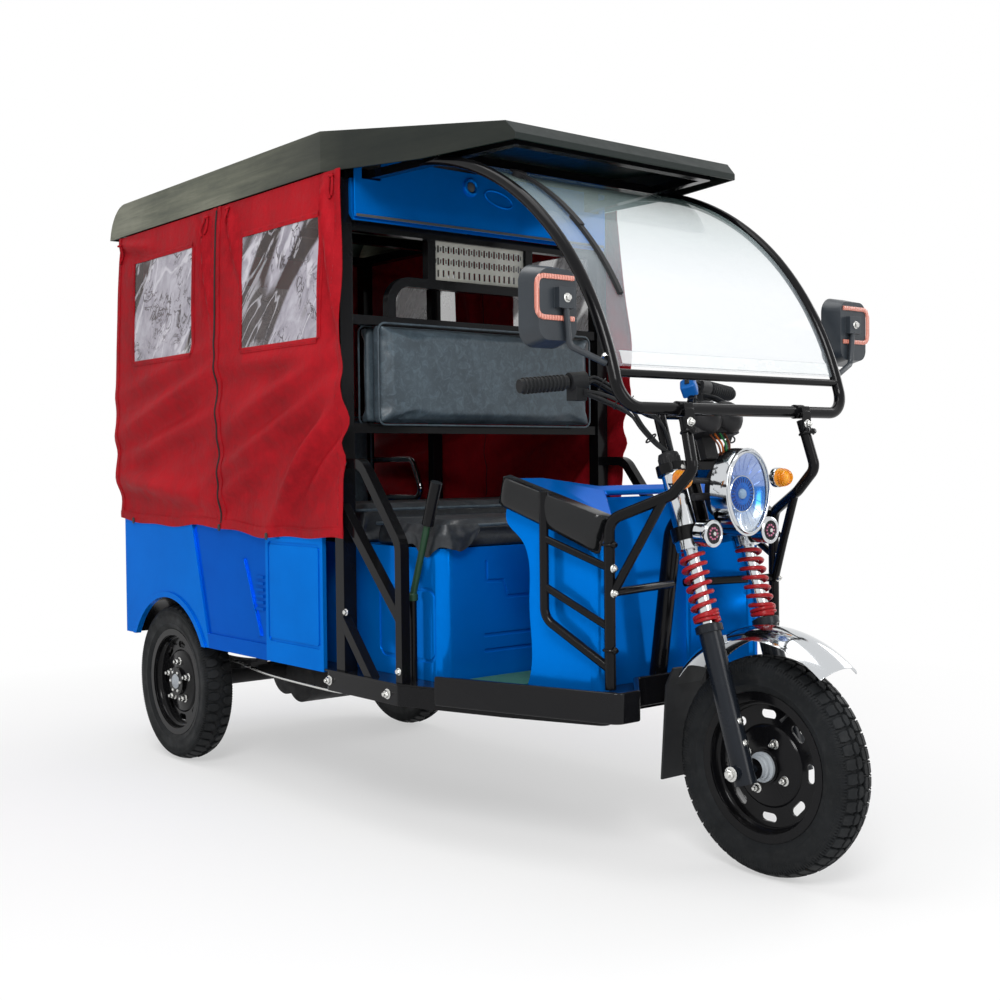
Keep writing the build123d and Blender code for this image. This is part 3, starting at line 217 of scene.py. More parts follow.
def bright(name, colour, rough=(0.05, 0.16), brushed=0.0, spots=0.25):
    """Chrome, zinc or bare metal with faint haze and specks."""
    look = Look(name, Metallic=1.0)
    speck = look.spread(look.cloud(160.0, 8.0, 0.75), 0.0, spots, 0.60, 0.74)
    height = look.cloud(300.0, 3.0, 0.5, (1, 1, 0.04) if brushed else (1, 1, 1))
    look.set(Base_Color=look.blend(speck, colour, scaled(colour, 0.45)),
             Roughness=look.spread(look.cloud(12.0, 6.0, 0.6), *rough),
             Normal=look.bump(height, 0.02 + brushed, 0.0008, look.edges(0.0012)[0]))
    return look.material


def canvas(name, colour, shade):
    """Coated canvas: crossed threads, faded patches and rubbed lines."""
    look = Look(name, Specular_IOR_Level=0.06)
    base = look.ramp(look.cloud(2.2, 7.0, 0.62, (1, 1, 0.6)), (0.30, shade), (0.70, colour))
    patches = look.cloud(26.0, 6.0, 0.7)
    mottled = look.blend(look.spread(patches, 0.0, 0.45, 0.42, 0.70), base, scaled(colour, 1.28))
    weave = look.times(*(look.wave(way, 190.0, Distortion=0.6, Detail=1.0) for way in "XZ"))
    creases = look.bump(look.cloud(34.0, 6.0, 0.62, (1, 1, 0.7), 0.4), 0.5, 0.005)
    look.set(Base_Color=look.blend(look.spread(weave, 0.16, 0.0, 0.0, 0.6), mottled, (0.02, 0.002, 0.003)),
             Roughness=look.spread(patches, 0.46, 0.68), Normal=look.bump(weave, 0.22, 0.0006, creases))
    return look.material


def vinyl(name, colour, shade):
    """Leathercloth: pebbled grain, soft creases and lighter mottled patches of painted sheen."""
    look = Look(name, Specular_IOR_Level=0.36, Coat_Weight=0.04, Coat_Roughness=0.3)
    base = look.ramp(look.cloud(7.0, 6.0, 0.65), (0.3, shade), (0.72, colour))
    # Lighter mottled patches: painted sheen
    mottle = look.spread(look.cloud(38.0, 6.0, 0.72, twist=1.0), 0.0, 0.6, 0.46, 0.68)
    lightened = look.blend(mottle, base, scaled(colour, 1.7))
    cells = look.add("TexVoronoi", Scale=420.0, Vector=look.place())
    creases = look.bump(look.cloud(26.0, 5.0, 0.55, twist=0.8), 0.3, 0.004)
    look.set(Base_Color=look.blend(look.dust(0.16), lightened, (0.26, 0.27, 0.28)),
             Roughness=look.spread(look.cloud(18.0, 6.0, 0.6), 0.32, 0.5),
             Normal=look.bump(cells.outputs["Distance"], 0.18, 0.0008, creases))
    return look.material


def clear_film(name):
    """Soft clear film: pale haze with slanting clear patches tinted dark as painted shade of the cabin
    behind, painted shade along dark creases and painted highlights along folds.
    """
    look = Look(name, Specular_IOR_Level=0.5)
    turned = look.place(Rotation=(0.0, -0.70, 0.0), Location=(-0.597, 0.0, -0.502))

    def slanted(scale, detail, rough, stretch, twist):
        return look.cloud(scale, detail, rough, stretch, twist, turned)

    def ridges(value, wide):
        off = look.times(look.times(value, 0.5, "SUBTRACT"), 0.0, "ABSOLUTE")
        return look.spread(off, 1.0, 0.0, 0.25 * wide, wide)

    patches = slanted(5.2, 3.0, 0.5, (1.0, 1.0, 0.30), 0.5)
    # Clear patches: more see-through, and tinted dark as painted shade of the cabin behind
    clear = look.spread(patches, 1.0, 0.0, 0.435, 0.480)
    haze = look.ramp(slanted(14.0, 6.0, 0.65, (1, 1, 0.6), 0.8), (0.34, (0.24, 0.22, 0.27)),
                     (0.66, (0.52, 0.50, 0.57)))
    sparse = look.spread(slanted(9.0, 3.0, 0.5, (1, 1, 1), 0.0), 0.0, 1.0, 0.47, 0.60)
    # Dark crease lines, here and there: painted shade
    dark = look.times(ridges(slanted(17.0, 4.0, 0.6, (1, 1, 0.55), 1.6), 0.036), sparse)
    # Bright fold lines: painted highlights
    fold_highlights = look.times(ridges(slanted(9.0, 3.0, 0.5, (1, 1, 0.35), 0.9), 0.030), 0.8)
    lit = look.blend(fold_highlights, look.blend(clear, haze, (0.052, 0.030, 0.027)), (0.66, 0.64, 0.70))
    swells = look.bump(patches, 0.6, 0.010)
    look.set(Base_Color=look.blend(dark, lit, (0.030, 0.018, 0.026)),
             Alpha=look.spread(clear, 0.93, 0.62, 0.0, 1.0),
             Roughness=look.spread(look.cloud(40.0, 5.0, 0.6), 0.08, 0.24),
             Normal=look.bump(slanted(30.0, 4.0, 0.6, (1, 1, 0.5), 1.0), 0.3, 0.004, swells))
    return look.material


def roof_coat(name):
    """Olive moulding with streaks along its length, and painted shade: darker towards the front edge, on
    facets facing forward and on its dark green underside.
    """
    look = Look(name, Specular_IOR_Level=0.16)
    streaks = look.cloud(5.0, 7.0, 0.7, (0.45, 3.0, 7.0), 0.4)
    mixed = look.times(look.times(streaks, 0.6), look.times(look.cloud(2.4, 5.0, 0.6), 0.4), "ADD")
    colour = look.ramp(mixed, (0.38, (0.070, 0.077, 0.056)), (0.50, (0.132, 0.138, 0.102)),
                       (0.62, (0.215, 0.220, 0.170)))
    # Painted shade in three layers: darker towards the front, on facets facing forward, and underneath. Where
    # each layer is read, its share there, and its colour
    for kind, output, axis, share, tone in (
            ("TexCoord", "Object", "X", (0.0, 0.94, -0.60, 0.10), (0.010, 0.013, 0.012)),
            ("NewGeometry", "Normal", "X", (0.0, 0.92, 0.2, 0.6), (0.012, 0.017, 0.016)),
            ("NewGeometry", "Normal", "Z", (1.0, 0.0, -0.5, -0.2), (0.003, 0.014, 0.008))):
        colour = look.blend(look.spread(look.part(kind, output, axis), *share), colour, tone)
    look.set(Base_Color=colour, Roughness=look.spread(streaks, 0.34, 0.52),
             Normal=look.bump(look.cloud(700.0, 3.0, 0.6), 0.08, 0.001, look.edges(0.002)[0]))
    return look.material


def clear_glass(name, tint, low, high, rough=0.02, spec=0.7, band=None):
    """Thin clear sheet: see-through square on, and reflecting at a slant. A band at its top is painted
    reflection: less see-through and dark green towards the top.
    """
    look = Look(name, Specular_IOR_Level=spec)
    smear = look.cloud(7.0, 7.0, 0.7, (1, 0.4, 1))
    slant = look.add("LayerWeight", Blend=0.35).outputs["Fresnel"]
    alpha = look.times(look.spread(slant, low, high, 0.02, 0.8), look.spread(smear, 0.9, 1.12))
    # Painted reflection along the top: alpha rises and the colour turns dark green upwards
    if band:
        start, end, share, tone = band
        shade = look.spread(look.part("TexCoord", "Object", "Z"), 0.0, 1.0, start, end)
        alpha = look.times(alpha, look.times(shade, share), "ADD")
        colour = look.blend(shade, tint, tone)
    else:
        colour = look.ramp(smear, (0.3, tint), (0.7, scaled(tint, 1.06, 0.02)))
    look.set(Base_Color=colour, Alpha=alpha, Roughness=look.spread(smear, rough, rough + 0.05))
    return look.material


def lens(name, colour, deep, ribs, through, coat=0.6, spec=0.5):
    """Coloured lamp lens with moulded ribs."""
    look = Look(name, Transmission_Weight=through, IOR=1.48, Coat_Weight=coat, Specular_IOR_Level=spec)
    wave = look.wave("Y", ribs, Distortion=0.0)
    look.set(Base_Color=look.blend(wave, colour, deep), Roughness=look.spread(look.cloud(60.0), 0.06, 0.16),
             Normal=look.bump(wave, 0.4, 0.002))
    return look.material


def rubber_tyre(name):
    look = Look(name, Specular_IOR_Level=0.16)
    base = look.ramp(look.cloud(9.0, 7.0, 0.66), (0.3, (0.005, 0.0057, 0.0063)),
                     (0.7, (0.012, 0.0135, 0.0152)))
    dusty = look.spread(look.cloud(45.0, 8.0, 0.75), 0.0, 0.28, 0.50, 0.76)
    look.set(Base_Color=look.blend(dusty, base, (0.050, 0.050, 0.048)),
             Roughness=look.spread(look.cloud(30.0, 6.0, 0.6), 0.5, 0.74),
             Normal=look.bump(look.cloud(380.0, 5.0, 0.65), 0.16, 0.0012))
    return look.material


def reflector_metal(name, low, high):
    """Lamp reflector coloured by height as painted reflection: silver below, deep blue at the middle and pale
    blue on top.
    """
    look = Look(name, Metallic=1.0)
    # Colour bands by height: painted reflection
    rise = look.spread(look.part("TexCoord", "Object", "Z"), 0.0, 1.0, low, high)
    look.set(Base_Color=look.ramp(rise, (0.0, (0.74, 0.77, 0.80)), (0.20, (0.50, 0.60, 0.76)),
                                  (0.34, (0.035, 0.19, 0.56)), (0.56, (0.020, 0.14, 0.48)),
                                  (0.585, (0.20, 0.30, 0.62)), (1.0, (0.42, 0.50, 0.74))),
             Roughness=look.spread(look.cloud(30.0), 0.08, 0.20),
             Normal=look.bump(look.cloud(120.0, 3.0), 0.15, 0.001))
    return look.material


# Slots of the record, and finishes that single pieces take instead
BLUE = {"rough": (0.12, 0.22), "dust": 0.0, "metal": 0.40, "spec": 0.02, "tint": (0.02, 0.42, 1.0)}
M = {
    "black_steel": paint("gloss_black_enamel", (0.0055, 0.0055, 0.0065), (0.003, 0.003, 0.0035),
                         (0.04, 0.04, 0.04), (0.10, 0.20), 0.02, spec=0.15),
    "blue_paint": paint("gloss_blue_enamel", (0.0002, 0.178, 0.69), (0.0002, 0.146, 0.58),
                        (0.01, 0.22, 0.74), **BLUE),
    # Darker copy of the blue enamel for the recessed doorway infill: painted shade
    "blue_painted_shade": paint("blue_enamel_painted_shade", (0.0002, 0.108, 0.53), (0.0002, 0.088, 0.44), (0.01, 0.16, 0.60),
                       **BLUE),
    "spring_red": paint("red_spring_enamel", (0.42, 0.015, 0.020), (0.30, 0.009, 0.012), (0.55, 0.26, 0.24),
                        (0.2, 0.34)),
    # Roof moulding: streaks, with painted shade at the front and underneath
    "roof_plastic": roof_coat("streaked_roof_with_painted_shade"),
    "canvas": canvas("deep_red_canvas", (0.47, 0.011, 0.019), (0.23, 0.005, 0.010)),
    "film": clear_film("clear_soft_film"),
    "vinyl": vinyl("charcoal_vinyl", (0.056, 0.080, 0.098), (0.030, 0.043, 0.054)),
    "seat_vinyl": vinyl("black_vinyl", (0.020, 0.024, 0.028), (0.010, 0.012, 0.015)),
    # The screen's top band is painted reflection
    "glass": clear_glass("screen_glass", (0.74, 0.82, 0.88), 0.045, 0.22, 0.02, 0.35,
                         (1.36, 1.66, 0.30, (0.26, 0.36, 0.34))),
    "frosted": clear_glass("frosted_band", (0.78, 0.82, 0.83), 0.55, 0.8, 0.25),
    "lens": clear_glass("lamp_cover", (0.60, 0.78, 0.95), 0.02, 0.30),
    "mirror": bright("silvered_mirror", (0.86, 0.88, 0.90), (0.01, 0.03), 0.0, 0.05),
    "chrome": bright("chrome_plate", (0.60, 0.62, 0.64), (0.05, 0.15)),
    "zinc": bright("zinc_plate", (0.62, 0.62, 0.60), (0.18, 0.34), 0.06),
    "tyre": rubber_tyre("tyre_rubber"),
    "amber": lens("amber_lens", (1.0, 0.42, 0.015), (0.92, 0.26, 0.008), 15.0, 0.25, 0.3),
    "red_lens": lens("red_lens", (0.46, 0.008, 0.010), (0.24, 0.004, 0.005), 15.0, 0.1, 0.08, 0.25),
    "orange_reflector": lens("orange_reflector", (0.72, 0.27, 0.20), (0.52, 0.15, 0.10), 42.0, 0.1),
    "blue_glow": lens("blue_lamp_ring", (0.006, 0.12, 0.50), (0.003, 0.060, 0.34), 4.0, 0.05, 0.0, 0.1),
    "horn_pink": lens("horn_studs", (0.50, 0.13, 0.24), (0.34, 0.06, 0.15), 6.0, 0.1),
    "projector": lens("projector_glass", (0.30, 0.48, 0.66), (0.10, 0.22, 0.40), 2.0, 0.3),
}
# Slot or finish, name, colour, shade, roughness, grain, dust, scale of the grain, reflection
MOULDED = (
    ("black_plastic", "satin_black_plastic", (0.020, 0.020, 0.022), (0.011, 0.011, 0.012)),
    ("rubber", "black_rubber", (0.022, 0.023, 0.025), (0.012, 0.013, 0.014), (0.5, 0.68), 0.16, 0.2),
    ("iron", "dark_casting", (0.040, 0.040, 0.042), (0.018, 0.018, 0.019), (0.45, 0.7), 0.5, 0.3, 260.0),
    ("mirror_shell", "mirror_shell_plastic", (0.030, 0.037, 0.045), (0.019, 0.024, 0.030), (0.3, 0.42),
     0.06, 0.03, 900.0, 0.4),
    ("slider_black", "satin_slider_enamel", (0.010, 0.013, 0.018), (0.007, 0.009, 0.013), (0.20, 0.30),
     0.03, 0.0),
    ("gloss_black", "gloss_black_plastic", (0.006, 0.006, 0.007), (0.004, 0.004, 0.005), (0.08, 0.16), 0.02,
     0.02, 500.0, 0.2),
    ("pale_steel", "pale_mesh_enamel", (0.62, 0.61, 0.55), (0.46, 0.45, 0.40), (0.35, 0.5), 0.06, 0.05),
    ("thread", "red_thread", (0.30, 0.02, 0.03), (0.18, 0.01, 0.015), (0.6, 0.8), 0.1, 0.0),
    ("grey_plastic", "dark_grey_plastic", (0.085, 0.092, 0.098), (0.055, 0.060, 0.064), (0.36, 0.5), 0.10,
     0.06),
    ("blue_plastic", "blue_switch_plastic", (0.010, 0.16, 0.55), (0.006, 0.11, 0.42), (0.34, 0.48), 0.06,
     0.04),
    ("mat_green", "green_floor_mat", (0.010, 0.125, 0.092), (0.005, 0.075, 0.056), (0.45, 0.62), 0.35, 0.12,
     420.0),
    ("hub_grey", "pale_hub_enamel", (0.42, 0.45, 0.48), (0.32, 0.35, 0.38), (0.3, 0.45), 0.05, 0.03),
    ("lever_green", "dark_green_enamel", (0.020, 0.060, 0.030), (0.012, 0.040, 0.020), (0.25, 0.4), 0.05,
     0.0),
    ("wire_brown", "brown_wire", (0.16, 0.045, 0.018), (0.10, 0.028, 0.012), (0.4, 0.5), 0.04, 0.0),
    ("wire_orange", "orange_wire", (0.60, 0.15, 0.02), (0.42, 0.09, 0.012), (0.4, 0.5), 0.04, 0.0),
    ("wire_green", "green_wire", (0.03, 0.24, 0.07), (0.02, 0.15, 0.045), (0.4, 0.5), 0.04, 0.0),
    ("pad_black", "gloss_black_pad", (0.009, 0.0095, 0.0105), (0.005, 0.0055, 0.006), (0.12, 0.22), 0.03,
     0.0, 500.0, 0.3),
    ("binding", "black_binding", (0.014, 0.013, 0.014), (0.008, 0.008, 0.009), (0.5, 0.7), 0.3, 0.05, 600.0),
    ("tick_blue", "deep_blue_ticks", (0.003, 0.022, 0.15), (0.002, 0.012, 0.09), (0.3, 0.45), 0.02, 0.0,
     900.0, 0.08),
)
for key, *values in MOULDED:
    M[key] = moulded(*values)


def soften(obj, width, segments, degrees):
    """Rounds hard edges by a modifier."""
    soft = obj.modifiers.new("soft_edges", "BEVEL")
    soft.width = width
    soft.segments = segments
    soft.limit_method = "ANGLE"
    soft.angle_limit = math.radians(degrees)


# Nodes whose finish in the photograph isn't that of their slot
FINISH = {"handlebar": "black_steel", "rear_armrests": "chrome", "partition_mesh": "pale_steel",
          "mirror_heads": "mirror_shell", "fork_sliders": "slider_black", "front_bumper": "gloss_black",
          # The doorway infill takes the darker blue as painted shade of its recess
          "doorway_infill": "blue_painted_shade"}
for row in frame["record"]["subparts"]:
    holder = cad[row["node"]]
    holder.data.materials.clear()
    holder.data.materials.append(M[FINISH.get(row["node"], row["material_slot"])])
# CAD nodes whose edges are visibly rounded, and how far
ROUNDED = {"dash_trim": 0.016, "dash_top": 0.009, "cowl_shield": 0.005, "mirror_heads": 0.006,
           "seat_box": 0.003, "front_bumper": 0.004, "instrument_cluster": 0.006, "overhead_panel": 0.005,
           "roof_shell": 0.004}
for name, width in ROUNDED.items():
    weld = cad[name].modifiers.new("weld", "WELD")
    weld.merge_threshold = 0.00002
    soften(cad[name], width, 3, 32)


# Pieces
def piece(name, verts, faces, body, slot, finish=None):
    mesh = bpy.data.meshes.new(name)
    mesh.from_pydata([tuple(v) for v in verts], [], faces)
    mesh.update()
    obj = bpy.data.objects.new(name, mesh)
    scene.collection.objects.link(obj)
    mesh.materials.append(M[finish or slot])
    mesh.shade_smooth()
    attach(obj, body)
    return obj


def spoke(first, second, angle):
    """Direction at an angle between two directions."""
    return first * math.cos(angle) + second * math.sin(angle)


def square_to(axis):
    """Unit axis and two directions square to it."""
    axis = Vector(axis).normalized()
    across = axis.orthogonal().normalized()
    return axis, across, axis.cross(across)


def turns(count, start=0.0):
    """Evenly spaced angles of a full turn."""
    return [start + math.tau * k / count for k in range(count)]


class Shape:
    """Collects vertices and faces of one piece."""

    def __init__(self):
        self.verts, self.faces = [], []

    def cap(self, points):
        """One face over a row of points."""
        start = len(self.verts)
        self.verts += [Vector(v) for v in points]
        self.faces.append(tuple(range(start, len(self.verts))))

    def grid(self, rows, close_u=False, close_v=False):
        count, width = len(rows), len(rows[0])
        start = len(self.verts)
        for row in rows:
            self.verts += [Vector(v) for v in row]
        for i in range(count if close_u else count - 1):
            for j in range(width if close_v else width - 1):
                a, b = start + i * width, start + ((i + 1) % count) * width
                k = (j + 1) % width
                self.faces.append((a + j, a + k, b + k, b + j))

    def row_face(self, start, width, row, back=False):
        """One face over a row of a grid that was added at start."""
        face = tuple(start + row * width + k for k in range(width))
        self.faces.append(face[::-1] if back else face)

    def lathe(self, profile, centre, axis, segments=48):
        """Turns a list of (radius, distance along the axis) about the axis."""
        axis, across, other = square_to(axis)
        rows = []
        for angle in turns(segments):
            out = spoke(across, other, angle)
            rows.append([Vector(centre) + out * radius + axis * along for radius, along in profile])
        self.grid(rows, close_u=True)

    def prism(self, outline, base, across, up, depth, chamfer=0.0):
        """Extrudes a closed outline of (across, up) points along across x up, with a chamfered top."""
        base, across, up = Vector(base), Vector(across).normalized(), Vector(up).normalized()
        out = across.cross(up).normalized()
        count = len(outline)
        mid_a = sum(a for a, b in outline) / count
        mid_b = sum(b for a, b in outline) / count
        rings = [(0.0, 0.0), (depth - chamfer, 0.0)]
        if chamfer:
            rings.append((depth, chamfer))
        rows = []
        for along, inset in rings:
            row = []
            for a, b in outline:
                reach = math.hypot(a - mid_a, b - mid_b) or 1.0
                keep = max(0.0, reach - inset) / reach
                flat = across * (mid_a + (a - mid_a) * keep) + up * (mid_b + (b - mid_b) * keep)
                row.append(base + flat + out * along)
            rows.append(row)
        start = len(self.verts)
        self.grid(rows, close_v=True)
        self.row_face(start, count, len(rings) - 1)
        self.row_face(start, count, 0, back=True)

    def tube(self, points, radius, sides=10, closed=False, caps=True):
        """Sweeps a round section along points."""
        points = [Vector(p) for p in points]
        count = len(points)
        rows, side = [], None
        for i, point in enumerate(points):
            before = points[i - 1] if i or closed else point
            after = points[(i + 1) % count] if i < count - 1 or closed else point
            run = (after - before).normalized()
            if side is None:
                side = run.orthogonal().normalized()
            side = (side - run * side.dot(run)).normalized()
            other = run.cross(side)
            rows.append([point + spoke(side, other, angle) * radius for angle in turns(sides)])
        start = len(self.verts)
        self.grid(rows, close_u=closed, close_v=True)
        if caps and not closed:
            self.row_face(start, sides, 0, back=True)
            self.row_face(start, sides, count - 1)

    def ring(self, centre, axis, radius, thick, segments, sides):
        """Round ring of round wire."""
        axis, across, other = square_to(axis)
        points = [Vector(centre) + spoke(across, other, angle) * radius for angle in turns(segments)]
        self.tube(points, thick, sides, closed=True)

    def bolt(self, place, axis, flats, head, stud=0.0, washer=0.002):
        """Hexagon head on a washer, with an optional stud end."""
        axis, across, other = square_to(axis)
        place = Vector(place)
        if washer:
            wide = flats * 0.78
            rim = [(0.0, 0.0), (wide, 0.0), (wide, 0.7 * washer), (flats * 0.7, washer), (0.0, washer)]
            self.lathe(rim, place, axis, 16)
            place = place + axis * washer
        rows = []
        for along, size in ((0.0, 1.0), (head * 0.78, 1.0), (head, 0.84)):
            corner = flats * 0.577 * size
            rows.append([place + axis * along + spoke(across, other, angle) * corner for angle in turns(6)])
        start = len(self.verts)
        self.grid(rows, close_v=True)
        self.row_face(start, 6, 2)
        if stud:
            wide, end = flats * 0.3, head + stud
            tip = [(wide, head * 0.6), (wide, end), (flats * 0.2, end + 0.001), (0.0, end + 0.001)]
            self.lathe(tip, place, axis, 10)

    def make(self, name, body, slot, finish=None, bevel=0.0):
        """Adds the piece, with hard edges marked so that smooth shading keeps them."""
        obj = piece(name, self.verts, self.faces, body, slot, finish)
        if bevel:
            soften(obj, bevel, 2, 35)
        mesh = bmesh.new()
        mesh.from_mesh(obj.data)
        bmesh.ops.remove_doubles(mesh, verts=mesh.verts, dist=1e-6)
        bmesh.ops.recalc_face_normals(mesh, faces=mesh.faces)
        for edge in mesh.edges:
            if len(edge.link_faces) == 2 and edge.calc_face_angle(0.0) > math.radians(38.0):
                edge.smooth = False
        mesh.to_mesh(obj.data)
        mesh.free()
        return obj


def turned(name, body, slot, profile, centre, axis, segments, finish=None):
    """Piece of one turned profile."""
    shape = Shape()
    shape.lathe(profile, centre, axis, segments)
    return shape.make(name, body, slot, finish)


def curve_points(points, steps):
    """Smooth run through points."""
    points = [Vector(p) for p in points]
    result = []
    for i in range(len(points) - 1):
        a = points[max(0, i - 1)]
        b, c = points[i], points[i + 1]
        d = points[min(len(points) - 1, i + 2)]
        slope, bend, twist = c - a, 2 * a - 5 * b + 4 * c - d, 3 * b - a - 3 * c + d
        for k in range(steps):
            t = k / steps
            result.append(0.5 * (2 * b + slope * t + bend * t * t + twist * t ** 3))
    result.append(points[-1])
    return result


def rounded_outline(width, height, radius, steps=5):
    """Closed outline of a rectangle with round corners."""
    points = []
    for sx, sy, start in ((1, 1, 0), (-1, 1, 90), (-1, -1, 180), (1, -1, 270)):
        for k in range(steps + 1):
            angle = math.radians(start + 90 * k / steps)
            points.append((sx * (width / 2 - radius) + radius * math.cos(angle),
                           sy * (height / 2 - radius) + radius * math.sin(angle)))
    return points


# Tyres
WALL = 0.0474
TREAD_HALF, TREAD_DROP = 0.043, 0.013
RIB = 0.0042
# Radius and half width of the carcass, from the bead to the middle of the tread
CARCASS = ((0.1605, 0.033), (0.170, 0.0365), (0.176, 0.0425), (0.186, 0.0450), (0.1885, 0.0462),
           (0.191, 0.0452), (0.204, 0.0472), (0.216, 0.0478), (0.226, 0.0474), (0.2315, 0.0455),
           (0.2335, 0.0425), (0.2385, 0.030), (0.2425, 0.016), (0.2440, 0.0))
# Outlines of tread blocks, as shares of a pitch and distances from the middle
FRONT_BLOCKS = (
    ((0.06, 0.0425), (0.80, 0.0425), (0.90, 0.0300), (0.84, 0.0185), (0.46, 0.0205), (0.10, 0.0180),
     (0.00, 0.0300)),
    ((0.02, 0.0150), (0.50, 0.0175), (0.92, 0.0152), (0.97, 0.0070), (0.80, 0.0016), (0.20, 0.0016),
     (0.06, 0.0070)),
)
REAR_BLOCKS = (
    ((0.08, 0.0425), (0.72, 0.0425), (0.86, 0.0270), (0.80, 0.0120), (0.44, 0.0030), (0.12, 0.0110),
     (0.00, 0.0270)),
)


def tyre(name, body, centre, outlines, pitches, cad_node):
    centre = Vector(centre)
    shape = Shape()
    profile = [(r, -y) for r, y in CARCASS] + [(r, y) for r, y in reversed(CARCASS[:-1])]
    shape.lathe(profile, centre, ACROSS, 120)

    def at(turn, y, radius):
        return centre + ACROSS * y + spoke(AHEAD, UP, turn) * radius

    def tread(pitch, y, sink):
        y = max(-WALL, min(WALL, y))
        radius = AXLE_Z - TREAD_DROP * (abs(y) / TREAD_HALF) ** 2 - sink
        return at(math.tau * pitch / pitches, y, radius)

    # The blocks of the two halves are half a pitch apart
    blocks = [[(shift + t, side * y) for t, y in outline]
              for side, shift in ((-1, 0.0), (1, 0.5)) for outline in outlines]
    for pitch in range(pitches):
        for outline in blocks:
            count = len(outline)
            mid_t = sum(t for t, y in outline) / count
            mid_y = sum(y for t, y in outline) / count
            rings = []
            for sink, grow in ((0.0088, 0.98), (0.0012, 0.90), (0.0, 0.84)):
                rings.append([tread(pitch + mid_t + (t - mid_t) * grow, mid_y + (y - mid_y) * grow, sink)
                              for t, y in outline])
            start = len(shape.verts)
            shape.grid(rings, close_v=True)
            shape.row_face(start, count, 2)
        # Fine ribs that run from the shoulder down the side wall
        for share in (0.12, 0.37, 0.62, 0.87):
            angle = math.tau * (pitch + share) / pitches
            for side in (-1, 1):
                rows = []
                for radius, out in ((0.2385, 0.0428), (0.2320, 0.0470), (0.2210, 0.0486), (0.2120, 0.0480)):
                    rows.append([at(angle + s * RIB / radius, side * (out + lift), radius)
                                 for s, lift in ((-0.5, -0.002), (-0.3, 0.0), (0.3, 0.0), (0.5, -0.002))])
                shape.grid(rows)
    obj = shape.make(name, body, "tyre")
    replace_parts(obj, cad_node)


FRONT = Vector((FRONT_X, 0, AXLE_Z))
REAR = {side: Vector((REAR_X, side * TRACK / 2, AXLE_Z)) for side, _ in SIDES}
tyre("front_tyre_tread", "front_wheel", FRONT, FRONT_BLOCKS, 50, "front_tyre")
for side, word in SIDES:
    tyre(f"rear_{word}_tyre_tread", f"rear_{word}_wheel", REAR[side], REAR_BLOCKS, 44, f"rear_{word}_tyre")


# Curtains
CLOTH_Y = 0.5012
CLOTH_TOP = 1.7195
CLOTH_DROP = 0.96
HEM_Z = 0.745
REAR_CLOTH_X = -1.2782
SEEDS = {-1: 1.3, 1: 7.9}
# Low and high limits of each clear window, along and up
WINDOWS = {"rear": (-1.150, -0.730, 1.295, 1.622), "front": (-0.417, -0.010, 1.286, 1.610)}
SPANS = {"rear": (-1.290, -0.579), "front": (-0.573, 0.095)}
# Start, end, width and height of each fold, on the right side
FOLDS = (
    ((-1.24, 1.06), (-0.60, 1.235), 0.045, 0.012), ((-1.18, 0.985), (-0.60, 1.10), 0.040, 0.011),
    ((-1.26, 0.905), (-0.70, 0.850), 0.050, 0.018), ((-1.20, 1.20), (-0.62, 1.30), 0.035, 0.006),
    ((-1.28, 1.70), (-1.05, 1.66), 0.020, 0.008), ((-0.66, 1.71), (-0.60, 1.40), 0.022, 0.010),
    ((-0.50, 1.71), (-0.44, 1.52), 0.022, 0.009), ((-0.54, 1.05), (0.00, 1.215), 0.045, 0.013),
    ((-0.55, 0.935), (0.10, 1.170), 0.045, 0.015), ((-0.58, 0.855), (-0.25, 0.975), 0.036, 0.012),
    ((-0.22, 0.83), (0.10, 1.13), 0.036, 0.017), ((-0.10, 0.86), (0.11, 1.02), 0.028, 0.009),
    ((0.02, 1.72), (0.06, 1.52), 0.016, 0.010), ((0.03, 1.60), (0.10, 1.25), 0.028, 0.012),
    ((-0.45, 1.24), (-0.05, 1.245), 0.030, 0.007),
)
REAR_FOLDS = (
    ((-0.45, 0.90), (0.20, 1.12), 0.045, 0.012), ((0.45, 0.84), (-0.10, 1.02), 0.045, 0.012),
    ((-0.40, 1.70), (-0.33, 1.30), 0.025, 0.008), ((0.40, 1.70), (0.34, 1.28), 0.025, 0.008),
)
THREAD = 0.0006
# Where the two edges and the thread of a hem, a side edge and a window's binding lie
HEM, EDGE, BINDING = (0.0, 0.028, 0.024), (0.0, 0.022, 0.018), (0.014, -0.002, 0.008)


def crease(x, z, start, end, width, height):
    """Height of a soft fold that runs between two points of the cloth."""
    ax, az = start
    run_x, run_z = end[0] - ax, end[1] - az
    length = math.hypot(run_x, run_z)
    t = ((x - ax) * run_x + (z - az) * run_z) / length ** 2
    off = ((x - ax) * -run_z + (z - az) * run_x) / length
    past = math.exp(-max(0.0, -t, t - 1.0) ** 2 * 18.0)
    fade = past * (0.35 + 0.65 * math.sin(math.pi * unit(t)) ** 0.7)
    ridge = math.exp(-(off / width) ** 2)
    valley = math.exp(-((off + 1.5 * width) / (1.1 * width)) ** 2)
    return height * fade * (ridge - 0.55 * valley)


def billow(down):
    return 0.012 * math.sin(math.pi * unit(down)) ** 0.8


def cloth_out(x, z, seed):
    """How far the side cloth stands out from its flat place."""
    down = (CLOTH_TOP - z) / CLOTH_DROP
    value = 0.0045 * noise.noise(Vector((x * 3.1 + seed, z * 2.4, seed * 1.7)))
    value += 0.0022 * noise.noise(Vector((x * 9.0 + seed, z * 6.0, 4.0 + seed)))
    for start, end, width, height in FOLDS:
        value += 2.3 * crease(x, z, start, end, 0.82 * width, height)
    value = (value + billow(down)) * (0.15 + 0.85 * unit(down / 0.05))
    low = max(0.0, 1.0 - (z - HEM_Z) / 0.11)
    value += 0.006 * low + 0.004 * low * math.sin(x * 21.0 + seed)
    return max(value, 0.0015 if z < 0.80 else -0.004)


